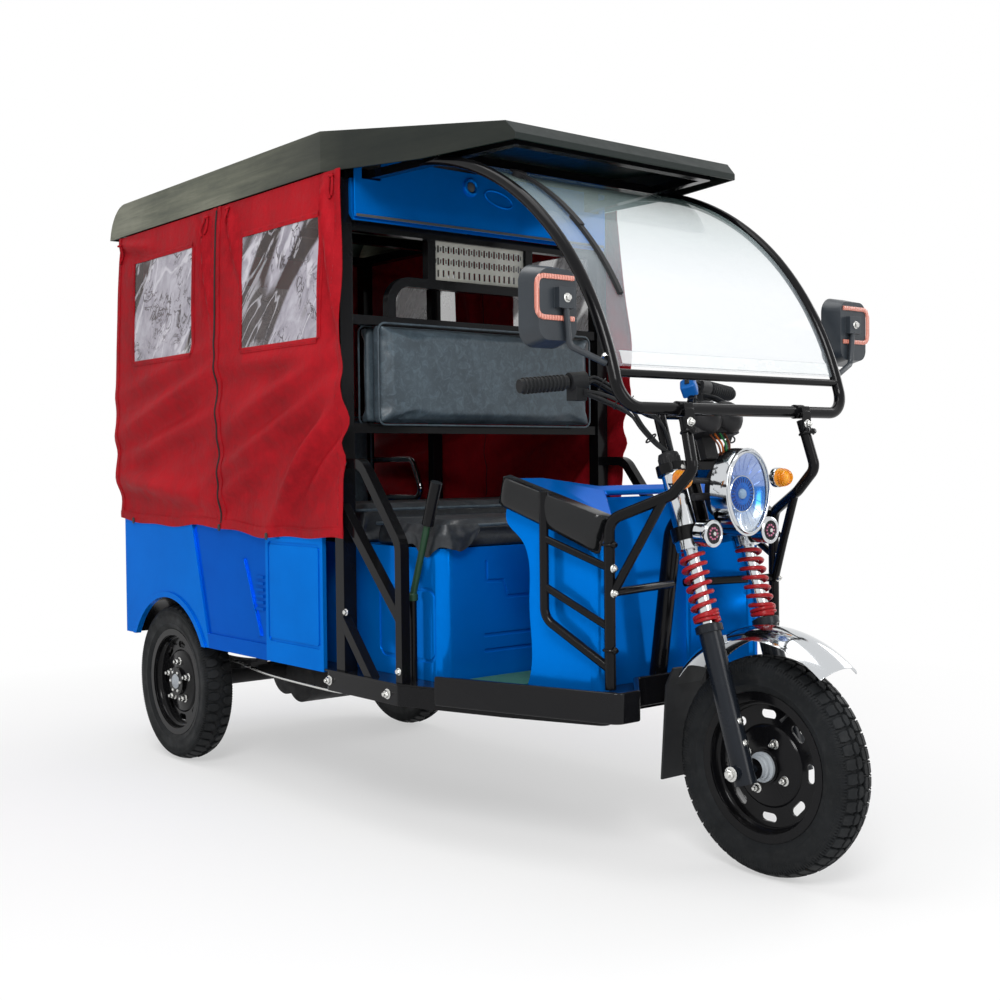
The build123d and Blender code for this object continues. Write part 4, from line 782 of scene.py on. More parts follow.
def cloth_point(x, z, side, lift=0.0):
    """Point of a side curtain, lifted off the cloth."""
    seed = SEEDS[side]
    edge = math.exp(-((x - 0.095) / 0.05) ** 2)
    pull = 0.030 * edge * math.sin(math.pi * unit((z - 0.80) / 0.9)) ** 1.2
    rear = math.exp(-((x + 1.29) / 0.05) ** 2)
    x_moved = x + pull - 0.012 * rear * math.sin((z - 0.77) * 5.2)
    sway = 0.008 * math.sin(x * 9.0 + seed) + 0.004 * math.sin(x * 23.0)
    z_moved = z + sway * max(0.0, 1.0 - (z - HEM_Z) / 0.09)
    return Vector((x_moved, side * (CLOTH_Y + cloth_out(x, z, seed) + lift), z_moved))


def steps_between(marks, size):
    """Places between neighbouring marks, about size apart, with every mark among them."""
    places = []
    for low, high in zip(marks, marks[1:]):
        count = max(1, round((high - low) / size))
        places += [low + (high - low) * i / count for i in range(count)]
    return places + [marks[-1]]


def stitches(shape, points, out, pitch=0.011, length=0.007):
    """Rows of thread over a seam."""
    total = 0.0
    for a, b in zip(points, points[1:]):
        distance = (b - a).length
        if distance < 1e-6:
            continue
        direction = (b - a) / distance
        along = (pitch - total % pitch) % pitch
        while along + length < distance:
            bow = [a + direction * (along + length * share) + out * lift
                   for share, lift in ((0.0, THREAD), (0.5, 2.5 * THREAD), (1.0, THREAD))]
            shape.tube(bow, THREAD, 5, caps=False)
            along += pitch
        total += distance


def window_edges(window, along, up, lift):
    """Lines of a window's four sides, the way out of each, and how far its thread stands out."""
    left, right, low, high = window
    lines = (([(u, low) for u in along], (0, -1)), ([(u, high) for u in along], (0, 1)),
             ([(left, v) for v in up], (-1, 0)), ([(right, v) for v in up], (1, 0)))
    return [(line, away, BINDING, lift) for line, away in lines]


def hang(name, rows, inside, order, at, edges, out, cad_node):
    """Cloth with a clear window, bound edges and thread.

    inside holds the window's first and last row and column, order the corners of each face,
    and edges the lines to bind, in the coordinates that at takes.
    """
    width = len(rows[0])
    verts = [v for row in rows for v in row]
    cloth_faces, film_faces = [], []
    for i in range(len(rows) - 1):
        for j in range(width - 1):
            a, b = i * width + j, (i + 1) * width + j
            quad = (a, a + 1, b + 1, b)
            clear = inside[0] <= i < inside[1] and inside[2] <= j < inside[3]
            (film_faces if clear else cloth_faces).append(tuple(quad[k] for k in order))
    cloth = piece(name, verts, cloth_faces, "chassis", "canvas")
    film = piece(f"{name}_window", verts, film_faces, "chassis", "film")
    for obj in (cloth, film):
        mesh = bmesh.new()
        mesh.from_mesh(obj.data)
        bmesh.ops.delete(mesh, geom=[v for v in mesh.verts if not v.link_faces], context="VERTS")
        mesh.to_mesh(obj.data)
        mesh.free()
    hems, seams = Shape(), Shape()
    for line, (du, dv), offsets, lift in edges:
        near, far, seam = ([at(u + du * by, v + dv * by) for u, v in line] for by in offsets)
        middle = [(a + b) / 2 for a, b in zip(near, far)]
        section = ((near, -0.001), (near, 0.0016), (middle, 0.0032), (far, 0.0022), (far, -0.001))
        hems.grid([[p + out * by for p in points] for points, by in section])
        stitches(seams, [p + out * lift for p in seam], out)
    extras = (hems.make(f"{name}_hems", "chassis", "canvas"),
              seams.make(f"{name}_stitches", "chassis", "canvas", "thread"))
    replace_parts(cloth, cad_node)
    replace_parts(film, "curtain_windows")


def hem_z(x):
    return 0.770 - 0.025 * (x + 1.29) / 1.385


def side_curtain(word, part, side):
    x_low, x_high = SPANS[part]
    window = WINDOWS[part]
    left, right, low, high = window
    xs = steps_between((x_low, left, right, x_high), 0.012)
    counts = (42, 26, 9)

    def at(x, z):
        return cloth_point(x, z, side)

    rows = []
    for start, end, count in zip((None, low, high), (low, high, CLOTH_TOP), counts):
        for k in range(count):
            starts = [hem_z(x) if start is None else start for x in xs]
            rows.append([at(x, base + (end - base) * k / count) for x, base in zip(xs, starts)])
    rows.append([at(x, CLOTH_TOP) for x in xs])
    rise = [i / 60 for i in range(61)]
    edges = [([(x, hem_z(x)) for x in (x_low + (x_high - x_low) * t for t in rise)], (0, 1), HEM, 0.0022)]
    for x, inward in ((x_low, 1), (x_high, -1)):
        edges.append(([(x, hem_z(x) + (CLOTH_TOP - hem_z(x)) * t) for t in rise], (inward, 0), EDGE, 0.0024))
    edges += window_edges(window, [left + (right - left) * t for t in rise[::2]],
                          [low + (high - low) * t for t in rise[::2]], 0.003)
    inside = (counts[0], counts[0] + counts[1], xs.index(left), xs.index(right))
    hang(f"{word}_{part}_curtain", rows, inside, (0, 1, 2, 3) if side < 0 else (3, 2, 1, 0), at, edges,
         ACROSS * side, "side_curtains")


def rear_curtain():
    half, top, low = 0.497, CLOTH_TOP, 0.770
    window = (-0.280, 0.280, 1.230, 1.600)
    ys = steps_between((-half, window[0], window[1], half), 0.013)
    zs = steps_between((low, window[2], window[3], top), 0.013)

    def at(y, z):
        down = (top - z) / (top - low)
        value = 0.005 * noise.noise(Vector((y * 3.0, z * 2.4, 21.0)))
        value += 0.002 * noise.noise(Vector((y * 9.0, z * 6.0, 3.0)))
        value += sum(1.6 * crease(y, z, *fold) for fold in REAR_FOLDS) + billow(down)
        value = max(value * (0.2 + 0.8 * min(1.0, down / 0.05)), 0.0008)
        drop = 0.006 * math.sin(y * 11.0) * max(0.0, 1.0 - (z - low) / 0.08)
        return Vector((REAR_CLOTH_X - value, y, z + drop))

    edges = [([(y, low) for y in ys], (0, 1), HEM, 0.0026)]
    for y, inward in ((-half, 1), (half, -1)):
        edges.append(([(y, z) for z in zs], (inward, 0), EDGE, 0.0026))
    edges += window_edges(window, [y for y in ys if window[0] <= y <= window[1]],
                          [z for z in zs if window[2] <= z <= window[3]], 0.0026)
    inside = (zs.index(window[2]), zs.index(window[3]), ys.index(window[0]), ys.index(window[1]))
    hang("rear_cabin_curtain", [[at(y, z) for y in ys] for z in zs], inside, (0, 3, 2, 1), at, edges, -AHEAD,
         "rear_curtain")


for side, word in SIDES:
    for part in ("rear", "front"):
        side_curtain(word, part, side)
rear_curtain()

# Cushions: a rounded block is inflated by a short cloth simulation
VOXEL = 0.010
SHRINK = 0.006
MOST_SWELL = 0.012
STEPS = 20
CLOTH = {"use_pressure": True, "uniform_pressure_force": 4.0, "quality": 4, "mass": 0.3,
         "tension_stiffness": 15, "compression_stiffness": 12, "shear_stiffness": 6, "bending_stiffness": 2.0}


def inflate(obj, axis, back):
    """Swells a closed mesh whose back stays where it is, each point by a limited way."""
    rest = [v.co.copy() for v in obj.data.vertices]
    group = obj.vertex_groups.new(name="held")
    for index, place in enumerate(rest):
        group.add([index], 1.0 if abs(place[axis] - back) < 0.006 else 0.0, "REPLACE")
    cloth = obj.modifiers.new("cloth", "CLOTH")
    cloth.settings.vertex_group_mass = "held"
    for key, value in CLOTH.items():
        setattr(cloth.settings, key, value)
    cloth.settings.effector_weights.gravity = 0
    cloth.collision_settings.use_collision = False
    cloth.point_cache.frame_start, cloth.point_cache.frame_end = 1, STEPS
    for step in range(1, STEPS + 1):
        scene.frame_set(step)
    graph = bpy.context.evaluated_depsgraph_get()
    blown = bpy.data.meshes.new_from_object(obj.evaluated_get(graph))
    scene.frame_set(1)
    obj.modifiers.clear()
    moved = [v.co.copy() for v in blown.vertices]
    for vert, before, after in zip(obj.data.vertices, rest, moved):
        move = after - before
        if move.length > MOST_SWELL:
            move *= MOST_SWELL / move.length
        vert.co = before + move
    obj.vertex_groups.clear()


def cushion(name, low, high, face, cad_node, channels):
    """Padded piece in the space of a CAD solid. face is the axis and sign of the side that swells."""
    axis, sign = face
    low, high = Vector(low), Vector(high)
    inner_low = Vector(v + SHRINK for v in low)
    inner_high = Vector(v - SHRINK for v in high)
    back = high[axis] if sign < 0 else low[axis]
    (inner_high if sign < 0 else inner_low)[axis] = back
    mesh = bmesh.new()
    bmesh.ops.create_cube(mesh, size=1.0)
    for vert in mesh.verts:
        vert.co = Vector(inner_low[i] + (inner_high[i] - inner_low[i]) * (vert.co[i] + 0.5) for i in range(3))
    bmesh.ops.bevel(mesh, geom=list(mesh.edges), offset=0.016, segments=4, profile=0.6, affect="EDGES")
    data = bpy.data.meshes.new(name)
    mesh.to_mesh(data)
    mesh.free()
    obj = bpy.data.objects.new(name, data)
    scene.collection.objects.link(obj)
    remesh = obj.modifiers.new("remesh", "REMESH")
    remesh.mode = "VOXEL"
    remesh.voxel_size = VOXEL
    bpy.context.view_layer.update()
    graph = bpy.context.evaluated_depsgraph_get()
    even = bpy.data.meshes.new_from_object(obj.evaluated_get(graph))
    obj.modifiers.clear()
    obj.data = even
    inflate(obj, axis, back)
    for vert in even.vertices:
        place = vert.co
        for channel_axis, at, width, deep in channels:
            off = (place[channel_axis] - at) / width
            if sign * (place[axis] - (low[axis] + high[axis]) / 2) > 0:
                place[axis] -= sign * deep * math.exp(-off * off)
        soft = noise.noise(place * 9.0) * 0.0018 + noise.noise(place * 24.0) * 0.0008
        if abs(place[axis] - back) > 0.004:
            place[axis] += sign * soft
        for k in range(3):
            place[k] = min(max(place[k], low[k] - 0.002), high[k] + 0.002)
    smooth = obj.modifiers.new("smooth", "SUBSURF")
    smooth.levels = smooth.render_levels = 1
    even.shade_smooth()
    even.materials.clear()
    even.materials.append(M["seat_vinyl" if "seat_cushion" in name else "vinyl"])
    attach(obj, "chassis")
    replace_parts(obj, cad_node)


def piping(name, low, high, axis, level, radius, corner=0.022):
    """Cord round a cushion at one level of an axis."""
    i, j = (k for k in range(3) if k != axis)
    points = []
    for si, sj, start in ((1, 1, 0), (-1, 1, 90), (-1, -1, 180), (1, -1, 270)):
        ci = (high[i] - corner) if si > 0 else (low[i] + corner)
        cj = (high[j] - corner) if sj > 0 else (low[j] + corner)
        for k in range(7):
            angle = math.radians(start + 15 * k)
            point = Vector((level, level, level))
            point[i] = ci + corner * math.cos(angle)
            point[j] = cj + corner * math.sin(angle)
            points.append(point)
    dense = []
    for a, b in zip(points, points[1:] + points[:1]):
        count = max(1, int((b - a).length / 0.02))
        dense += [a + (b - a) * t / count for t in range(count)]
    for point in dense:
        point[axis] += 0.0012 * noise.noise(point * 12.0)
    shape = Shape()
    shape.tube(dense, radius, 8, closed=True)
    shape.make(name, "chassis", "vinyl")


def cushion_box(cad_node, index):
    """Low and high corner of one of a CAD node's separate solids, in order along x."""
    mesh = bmesh.new()
    mesh.from_mesh(cad[cad_node].data)
    bmesh.ops.remove_doubles(mesh, verts=mesh.verts, dist=1e-5)
    mesh.verts.ensure_lookup_table()
    seen, boxes = set(), []
    for vert in mesh.verts:
        if vert.index in seen:
            continue
        stack, members = [vert], []
        seen.add(vert.index)
        while stack:
            v = stack.pop()
            members.append(v.co.copy())
            for edge in v.link_edges:
                w = edge.other_vert(v)
                if w.index not in seen:
                    seen.add(w.index)
                    stack.append(w)
        boxes.append([[limit(p[k] for p in members) for k in range(3)] for limit in (min, max)])
    mesh.free()
    boxes.sort(key=lambda item: item[0][0])
    return boxes[index]


# Name, CAD node, solid along x, swelling face, channels (axis, place, width, depth)
PADS = (
    ("facing_seat_cushion", "front_cushions", 0, (2, 1), ((1, 0.0, 0.012, 0.008),)),
    ("driver_seat_cushion", "front_cushions", 1, (2, 1), ((1, 0.0, 0.012, 0.008),)),
    ("rear_back_cushion", "rear_cushions", 0, (0, 1), ((1, 0.0, 0.012, 0.010), (2, 0.92, 0.012, 0.008))),
    ("rear_seat_cushion", "rear_cushions", 1, (2, 1), ((1, 0.0, 0.012, 0.010),)),
    ("facing_backrest", "partition_backrests", 0, (0, -1), ((1, 0.0, 0.010, 0.007),)),
    ("driver_backrest", "partition_backrests", 1, (0, 1), ()),
)
SEAM_INSET, SEAM_DEPTH = 0.005, 0.014
for name, cad_node, index, face, channels in PADS:
    low, high = cushion_box(cad_node, index)
    cushion(name, low, high, face, cad_node, channels)
    axis, sign = face
    level = (high[axis] - SEAM_DEPTH) if sign > 0 else (low[axis] + SEAM_DEPTH)
    piping(f"{name}_piping", [v + SEAM_INSET for v in low], [v - SEAM_INSET for v in high], axis, level,
           0.0028 if "backrest" in name else 0.0042)


# Wheels: stepped faces, nuts, hub sleeves, caps and valves
LIP = 0.0345


def wheel_face(name, body, centre, face, side, hub, boss):
    """Pressed steps on one face of a wheel disc. face is its distance from the wheel's middle."""
    shape = Shape()
    shape.lathe([(0.1512, LIP + 0.001), (0.1500, LIP + 0.001), (0.1488, LIP - 0.004),
                 (0.1478, face + 0.012), (0.1440, face + 0.0065), (0.1400, face + 0.0050),
                 (0.1385, face - 0.0002)], centre, ACROSS * side, 96)
    shape.lathe([(boss + 0.008, face - 0.0004), (boss + 0.004, face + 0.0045), (boss, face + 0.0062),
                 (boss - 0.012, face + 0.0066), (boss - 0.016, face + 0.0085), (hub + 0.010, face + 0.0095),
                 (hub + 0.004, face + 0.0125), (hub - 0.001, face + 0.0125)], centre, ACROSS * side, 96)
    shape.make(name, body, "black_steel")


def nut_ring(shape, centre, side, out, radius, angles, *sizes, **options):
    for angle in angles:
        place = centre + ACROSS * side * out + spoke(AHEAD, UP, angle) * radius
        shape.bolt(place, ACROSS * side, *sizes, **options)


def valve(name, body, centre, side, angle, reach, tip):
    inward = spoke(AHEAD, UP, angle)
    stem = [(0.0, -0.006), (0.0042, -0.006), (0.0042, reach), (0.0032, reach + 0.002),
            (0.0032, reach + 0.012)]
    turned(name, body, "rubber", stem + tip, centre + ACROSS * side * 0.0165 + inward * 0.147,
           ACROSS * side * 0.75 - inward * 0.7, 12)


nuts, sleeves = Shape(), Shape()
for (side, word), out in zip(SIDES, (0.011, -0.005)):
    wheel_face(f"front_rim_{word}_steps", "front_wheel", FRONT, out, side, 0.040, 0.088)
    nut_ring(nuts, FRONT, side, out + 0.0090, 0.059, turns(4, math.pi / 4 + 0.35), 0.015, 0.009, 0.006)
    sleeves.lathe([(0.0245, 0.0302), (0.0345, 0.0302), (0.0345, 0.0372), (0.0328, 0.0385), (0.0285, 0.0390),
                   (0.0285, 0.0480), (0.0272, 0.0492), (0.0246, 0.0496), (0.0246, 0.0605), (0.0240, 0.0618)],
                  FRONT, ACROSS * side, 40)
nuts.make("front_wheel_nuts", "front_wheel", "zinc")
sleeves.make("front_hub_sleeves", "front_wheel", "zinc", "hub_grey")
valve("front_valve", "front_wheel", FRONT, -1, 1.1, 0.010, [(0.0040, 0.0225), (0.0040, 0.030), (0.0, 0.031)])
for side, word in SIDES:
    body = f"rear_{word}_wheel"
    centre = REAR[side]
    wheel_face(f"rear_{word}_rim_steps", body, centre, 0.011, side, 0.046, 0.094)
    nuts = Shape()
    nut_ring(nuts, centre, side, 0.0200, 0.064, turns(5, 0.3), 0.017, 0.011, 0.008)
    nut_ring(nuts, centre, side, 0.0340, 0.033, turns(6), 0.009, 0.005, washer=0.0)
    nuts.make(f"rear_{word}_wheel_nuts", body, "zinc")
    turned(f"rear_{word}_hub_cap", body, "zinc",
           [(0.0235, 0.0340), (0.0235, 0.0365), (0.0215, 0.0385), (0.0110, 0.0400), (0.0100, 0.0420),
            (0.0, 0.0425)], centre, ACROSS * side, 40, "hub_grey")
    valve(f"rear_{word}_valve", body, centre, side, 2.2, 0.008, [(0.0, 0.021)])

# Fork: boots, knurled leg caps, clamp bolts, axle nuts and the springs' foot coils
COIL_WIRE = 0.0045
COIL_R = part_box("fork_springs")[1][1] - LEG_Y - COIL_WIRE
CAP_R = 0.0252
boots, caps, bolts, coils = Shape(), Shape(), Shape(), Shape()
for side, _ in SIDES:
    leg = side * LEG_Y
    boots.lathe([(0.0262, 0.0), (0.0305, 0.001), (0.0305, 0.006), (0.0285, 0.0075), (0.0305, 0.009),
                 (0.0305, 0.013), (0.0280, 0.0145), (0.0275, 0.018), (0.0215, 0.020)],
                fork(0, leg, 0.318), FORK_UP, 32)
    top = fork(0, leg, 0.744)
    caps.lathe([(0.0235, -0.027), (CAP_R, -0.026), (CAP_R, -0.003), (0.0232, 0.003), (0.0130, 0.0068),
                (0.0, 0.0076)], top, FORK_UP, 36)
    for angle in turns(18):
        out = spoke(FORK_AHEAD, ACROSS, angle) * CAP_R
        caps.tube([top + out + FORK_UP * up for up in (-0.023, -0.006)], 0.0015, 6)
    bolts.bolt(FRONT + ACROSS * side * 0.1400, ACROSS * side, 0.022, 0.009, 0.004)
    for up in (0.552, 0.704):
        bolts.bolt(fork(0.0295, leg, up), FORK_AHEAD, 0.011, 0.006)
    for up in (0.060, 0.110):
        bolts.bolt(fork(0.0258, leg, up), FORK_AHEAD, 0.010, 0.005)
    for up in (0.3475, 0.3565):
        coils.ring(fork(0, leg, up), FORK_UP, COIL_R, 0.0044, 40, 8)
coils.make("spring_foot_coils", "steering", "spring_red")
boots.make("fork_boots", "steering", "rubber")
caps.make("fork_leg_caps", "steering", "black_plastic")
bolts.make("fork_bolts", "steering", "zinc")

# Headlight: rim, reflector with flutes, projector and cover
lamp_low, lamp_high = (Vector(corner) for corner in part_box("headlight_lens"))
lamp_mid = (lamp_low + lamp_high) / 2
lamp_mid.x = lamp_low.x
BOWL = (0.0673, 0.0913)


def lamp_point(half_a, half_b, along, angle):
    """Point of a shield-shaped ring, wider above than below."""
    wide = half_a * (1.0 + 0.09 * math.sin(angle))
    return lamp_mid + Vector((along, wide * math.cos(angle), half_b * math.sin(angle)))


def lamp_shell(shape, rings):
    shape.grid([[lamp_point(*row, angle) for angle in turns(64)] for row in rings], close_v=True)


rim, bowl, ticks, cover = Shape(), Shape(), Shape(), Shape()
lamp_shell(rim, ((0.0766, 0.1022, -0.0220), (0.0772, 0.1026, -0.0040), (0.0752, 0.1003, 0.0120),
                 (0.0724, 0.0972, 0.0200), (0.0702, 0.0948, 0.0232), (0.0685, 0.0929, 0.0224),
                 (0.0677, 0.0919, 0.0175), (0.0671, 0.0911, 0.0110)))
rim.make("headlight_rim", "steering", "chrome")
M["reflector"] = reflector_metal("silver_and_blue_reflector", lamp_mid.z - 0.085, lamp_mid.z + 0.085)
bowl_rows = [(BOWL[0] * share, BOWL[1] * share, along) for share, along in (
    (1.0, 0.0150), (0.93, 0.0120), (0.84, 0.0082), (0.72, 0.0048), (0.55, 0.0022), (0.30, 0.0010),
    (0.02, 0.0008))]
lamp_shell(bowl, bowl_rows)
for angle in turns(20):
    bowl.tube([lamp_point(a, b, along + 0.0004, angle) for a, b, along in bowl_rows[1:5]], 0.0008, 6)
bowl.make("headlight_reflector", "steering", "chrome", "reflector")
eye = lamp_mid + Vector((0.0012, -0.012, -0.004))
for name, slot, finish, segments, profile in (
        ("rim", "chrome", None, 48,
         [(0.0430, 0.0), (0.0430, 0.0080), (0.0420, 0.0092), (0.0405, 0.0092), (0.0395, 0.0070)]),
        ("ring", "lens", "blue_glow", 48,
         [(0.0405, 0.0060), (0.0380, 0.0086), (0.0260, 0.0092), (0.0150, 0.0088), (0.0120, 0.0070)]),
        ("eye", "lens", "projector", 40,
         [(0.0125, 0.0070), (0.0120, 0.0110), (0.0090, 0.0145), (0.0045, 0.0160), (0.0, 0.0164)])):
    turned(f"headlight_projector_{name}", "steering", slot, profile, eye, AHEAD, segments, finish)
for angle in turns(26):
    ticks.tube([eye + AHEAD * 0.0090 + spoke(ACROSS, UP, angle) * r for r in (0.0262, 0.0372)], 0.0015, 6)
ticks.make("headlight_projector_ticks", "steering", "lens", "tick_blue")
lamp_shell(cover, ((0.0681, 0.0924, 0.0175), (0.0660, 0.0900, 0.0212), (0.0600, 0.0830, 0.0240),
                   (0.0470, 0.0660, 0.0262), (0.0280, 0.0400, 0.0278), (0.0120, 0.0180, 0.0285),
                   (0.0010, 0.0010, 0.0287)))
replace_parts(cover.make("headlight_cover", "steering", "lens"), "headlight_lens")

# Indicators: base, amber dome with rings
low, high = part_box("indicators")
radius, length = (high[2] - low[2]) / 2, high[0] - low[0]
profile = [(radius * 0.94, length * 0.26), (radius * 0.95, length * 0.42)]
for k in range(7):
    share = k / 6
    bulge = 0.52 * math.sin(share * 1.5)
    profile.append((radius * 0.93 * math.cos(share * 1.35), length * (0.46 + bulge)))
    profile.append((radius * 0.90 * math.cos(min(1.5, share * 1.35 + 0.06)), length * (0.455 + bulge)))
profile.append((0.0, length * 0.985))
for side, word in SIDES:
    centre = Vector((low[0], side * (abs(low[1]) - radius), (low[2] + high[2]) / 2))
    turned(f"{word}_indicator_base", "steering", "chrome",
           [(radius * 0.86, 0.0), (radius, 0.001), (radius, length * 0.26), (radius * 0.95, length * 0.30)],
           centre, AHEAD, 40)
    dome = turned(f"{word}_indicator_dome", "steering", "amber", profile, centre, AHEAD, 40)
    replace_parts(dome, "indicators")

# Horns: bright ring, dished face with slots, studs and nut
low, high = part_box("horns")
horn_r = (high[2] - low[2]) / 2
for side, word in SIDES:
    centre = Vector((high[0], side * (high[1] - horn_r), (low[2] + high[2]) / 2))
    turned(f"{word}_horn_ring", "steering", "chrome",
           [(horn_r + 0.0005, -0.010), (horn_r + 0.0012, -0.002), (horn_r + 0.0005, 0.003),
            (horn_r - 0.0035, 0.0052), (horn_r - 0.0075, 0.0040), (horn_r - 0.0090, 0.0004)],
           centre, AHEAD, 48)
    face, studs, nut = Shape(), Shape(), Shape()
    face.lathe([(horn_r - 0.006, 0.0004), (horn_r - 0.009, 0.0012), (horn_r - 0.013, 0.0006),
                (horn_r - 0.017, 0.0020), (0.008, 0.0022), (0.006, 0.0034), (0.0, 0.0036)], centre, AHEAD, 48)
    for angle in turns(14):
        face.tube([centre + AHEAD * 0.0018 + spoke(ACROSS, UP, angle) * (horn_r - r)
                   for r in (0.017, 0.0085)], 0.0011, 6)
    face.make(f"{word}_horn_face", "steering", "black_plastic")
    for angle in turns(10):
        studs.lathe([(0.0027, 0.0), (0.0024, 0.0016), (0.0012, 0.0024), (0.0, 0.0026)],
                    centre + AHEAD * 0.0020 + spoke(ACROSS, UP, angle) * 0.58 * (horn_r - 0.009), AHEAD, 12)
    studs.make(f"{word}_horn_studs", "steering", "red_lens", "horn_pink")
    nut.bolt(centre + AHEAD * 0.0034, AHEAD, 0.009, 0.004, washer=0.0)
    nut.make(f"{word}_horn_nut", "steering", "zinc")

# Instrument cluster: grey cap, dial, ribs, rounded pods and wires
cap, dial, ribs, pods = Shape(), Shape(), Shape(), Shape()
DIAL_AHEAD = 0.062
cap.prism(rounded_outline(0.050, 0.128, 0.014), fork(DIAL_AHEAD, 0, 0.8358), FORK_AHEAD, ACROSS, 0.011, 0.004)
cap.make("cluster_cap", "steering", "black_plastic", "grey_plastic", bevel=0.0012)
dial.lathe([(0.0235, 0.0), (0.0235, 0.0035), (0.0215, 0.0048), (0.0195, 0.0040), (0.0190, 0.0012),
            (0.0, 0.0010)], fork(DIAL_AHEAD, 0, 0.8464), FORK_UP, 40)
for degrees in range(-120, 121, 30):
    mark = spoke(FORK_AHEAD, ACROSS, math.radians(degrees))
    dial.tube([fork(DIAL_AHEAD, 0, 0.8482) + mark * r for r in (0.0140, 0.0178)], 0.0006, 6)
needle = FORK_AHEAD * 0.5 - ACROSS * 0.86
dial.tube([fork(DIAL_AHEAD, 0, 0.8484) + needle * r for r in (-0.003, 0.0150)], 0.0007, 6)
dial.make("cluster_dial", "steering", "chrome")
for k in range(4):
    ribs.prism(rounded_outline(0.104, 0.0055, 0.0026, 3), fork(0.0921, 0, 0.786 + 0.0125 * k), ACROSS,
               FORK_UP, 0.0024, 0.0010)
ribs.make("cluster_ribs", "steering", "black_plastic")
POD = 0.040
for y in (-0.037, 0.037):
    at = fork(0.088, y, 0.808)
    pods.lathe([(POD, -0.008), (POD, 0.004), (POD * 0.94, 0.012), (POD * 0.78, 0.020), (POD * 0.48, 0.0255),
                (POD * 0.2, 0.0275), (0.0, 0.0278)], at, FORK_AHEAD, 40)
    pods.lathe([(POD * 1.03, -0.002), (POD * 1.05, 0.001), (POD * 1.03, 0.004)], at, FORK_AHEAD, 40)
pods.make("cluster_pods", "steering", "black_plastic")
for y, finish, word in ((-0.030, "wire_brown", "brown"), (-0.014, "wire_orange", "orange"),
                        (0.004, "wire_green", "green"), (0.020, "wire_brown", "dark")):
    wire = Shape()
    start = fork(0.078, y, 0.7735)
    run = [start + FORK_UP * 0.003, start - FORK_UP * 0.012 + FORK_AHEAD * 0.006,
           (0.961, y * 0.8, 0.986), (0.962, y * 0.6, 0.9695), (0.958, y * 0.5, 0.9600)]
    wire.tube(curve_points(run, 6), 0.0024, 8)
    wire.make(f"cluster_{word}_wire", "steering", "black_plastic", finish)

# Handlebar: switch box, clipped cables, grip ribs, and bundles of control cables held by bands
bar_mid = fork(-0.049, 0, 0.862)


def bar_places(side):
    """Middle, bend and end of one half of the bar."""
    return (Vector((bar_mid.x, side * 0.074, bar_mid.z)), Vector((0.698, side * 0.172, 1.146)),
            Vector((0.658, side * 0.366, 1.128)))


middle, bend, end = bar_places(1)
box_at = bend.lerp(middle, 0.34)
bar_run = (middle - bend).normalized()
box_up = (FORK_UP - bar_run * FORK_UP.dot(bar_run)).normalized()
box_across = box_up.cross(bar_run)
switch, rocker = Shape(), Shape()
switch.prism(rounded_outline(0.044, 0.040, 0.007), box_at + box_up * 0.006, bar_run, box_across, 0.032, 0.004)
switch.make("blue_switch_box", "steering", "black_plastic", "blue_plastic", bevel=0.001)
rocker.prism(rounded_outline(0.020, 0.012, 0.003), box_at + box_up * 0.0378, bar_run, box_across, 0.005,
             0.0015)
rocker.make("switch_rocker", "steering", "black_plastic")
for side, word in SIDES:
    middle, bend, end = bar_places(side)
    along = (bend - end).normalized()
    for k, (ahead_by, low_by) in enumerate(((0.0142, 0.0), (0.0110, -0.0092))):
        shift = FORK_AHEAD * ahead_by + FORK_UP * low_by
        apart = 0.006 * k
        run = [bend - along * 0.024 + shift, bend + shift, bend.lerp(middle, 0.5) + shift,
               middle + shift + ACROSS * side * 0.006, fork(-0.030 + apart, side * (0.0595 + apart), 0.820),
               fork(-0.024 + 0.008 * k, side * (0.0600 + apart), 0.765),
               fork(-0.010 + 0.008 * k, side * (0.0650 + apart), 0.7445)]
        cable = Shape()
        cable.tube(curve_points(run, 7), 0.0034, 8)
        cable.make(f"{word}_bar_cable_{k + 1}", "steering", "rubber")
    clips, ribs, bands = Shape(), Shape(), Shape()
    for share in (0.12, 0.62):
        at = bend.lerp(middle, share) + FORK_AHEAD * 0.0035 - FORK_UP * 0.001
        clips.ring(at, middle - bend, 0.0152, 0.0016, 28, 6)
    clips.make(f"{word}_bar_cable_clips", "steering", "black_plastic")
    for k in range(11):
        ribs.ring(end + along * (0.004 + 0.0105 * k), along, 0.0182, 0.0022, 24, 6)
    ribs.make(f"{word}_grip_ribs", "steering", "rubber")
    for k, (drop, out, thick) in enumerate(((0.0, 0.0, 0.0046), (0.010, 0.006, 0.0036),
                                            (0.019, -0.004, 0.0036))):
        run = [(0.708, 0.212, 1.118 - drop * 0.4), (0.765, 0.202 + out, 1.106 - drop),
               (0.826, 0.182 + out, 1.076 - drop), (0.846, 0.154 + out, 1.028 - drop * 0.6),
               (0.860, 0.122 + out, 0.990 - drop * 0.3), (0.872, 0.098 + out * 0.5, 0.968)]
        bundle = Shape()
        bundle.tube(curve_points([(x, side * y, z) for x, y, z in run], 8), thick, 9)
        bundle.make(f"{word}_control_cable_{k + 1}", "steering", "rubber")
    for (x, y, z), aim in (((0.800, 0.192, 1.084), (0.7, -0.25, -0.6)),
                           ((0.854, 0.138, 1.002), (0.25, -0.6, -0.7))):
        bands.ring((x, side * y, z), (aim[0], side * aim[1], aim[2]), 0.0145, 0.0020, 24, 6)
    bands.make(f"{word}_control_cable_bands", "steering", "black_plastic")

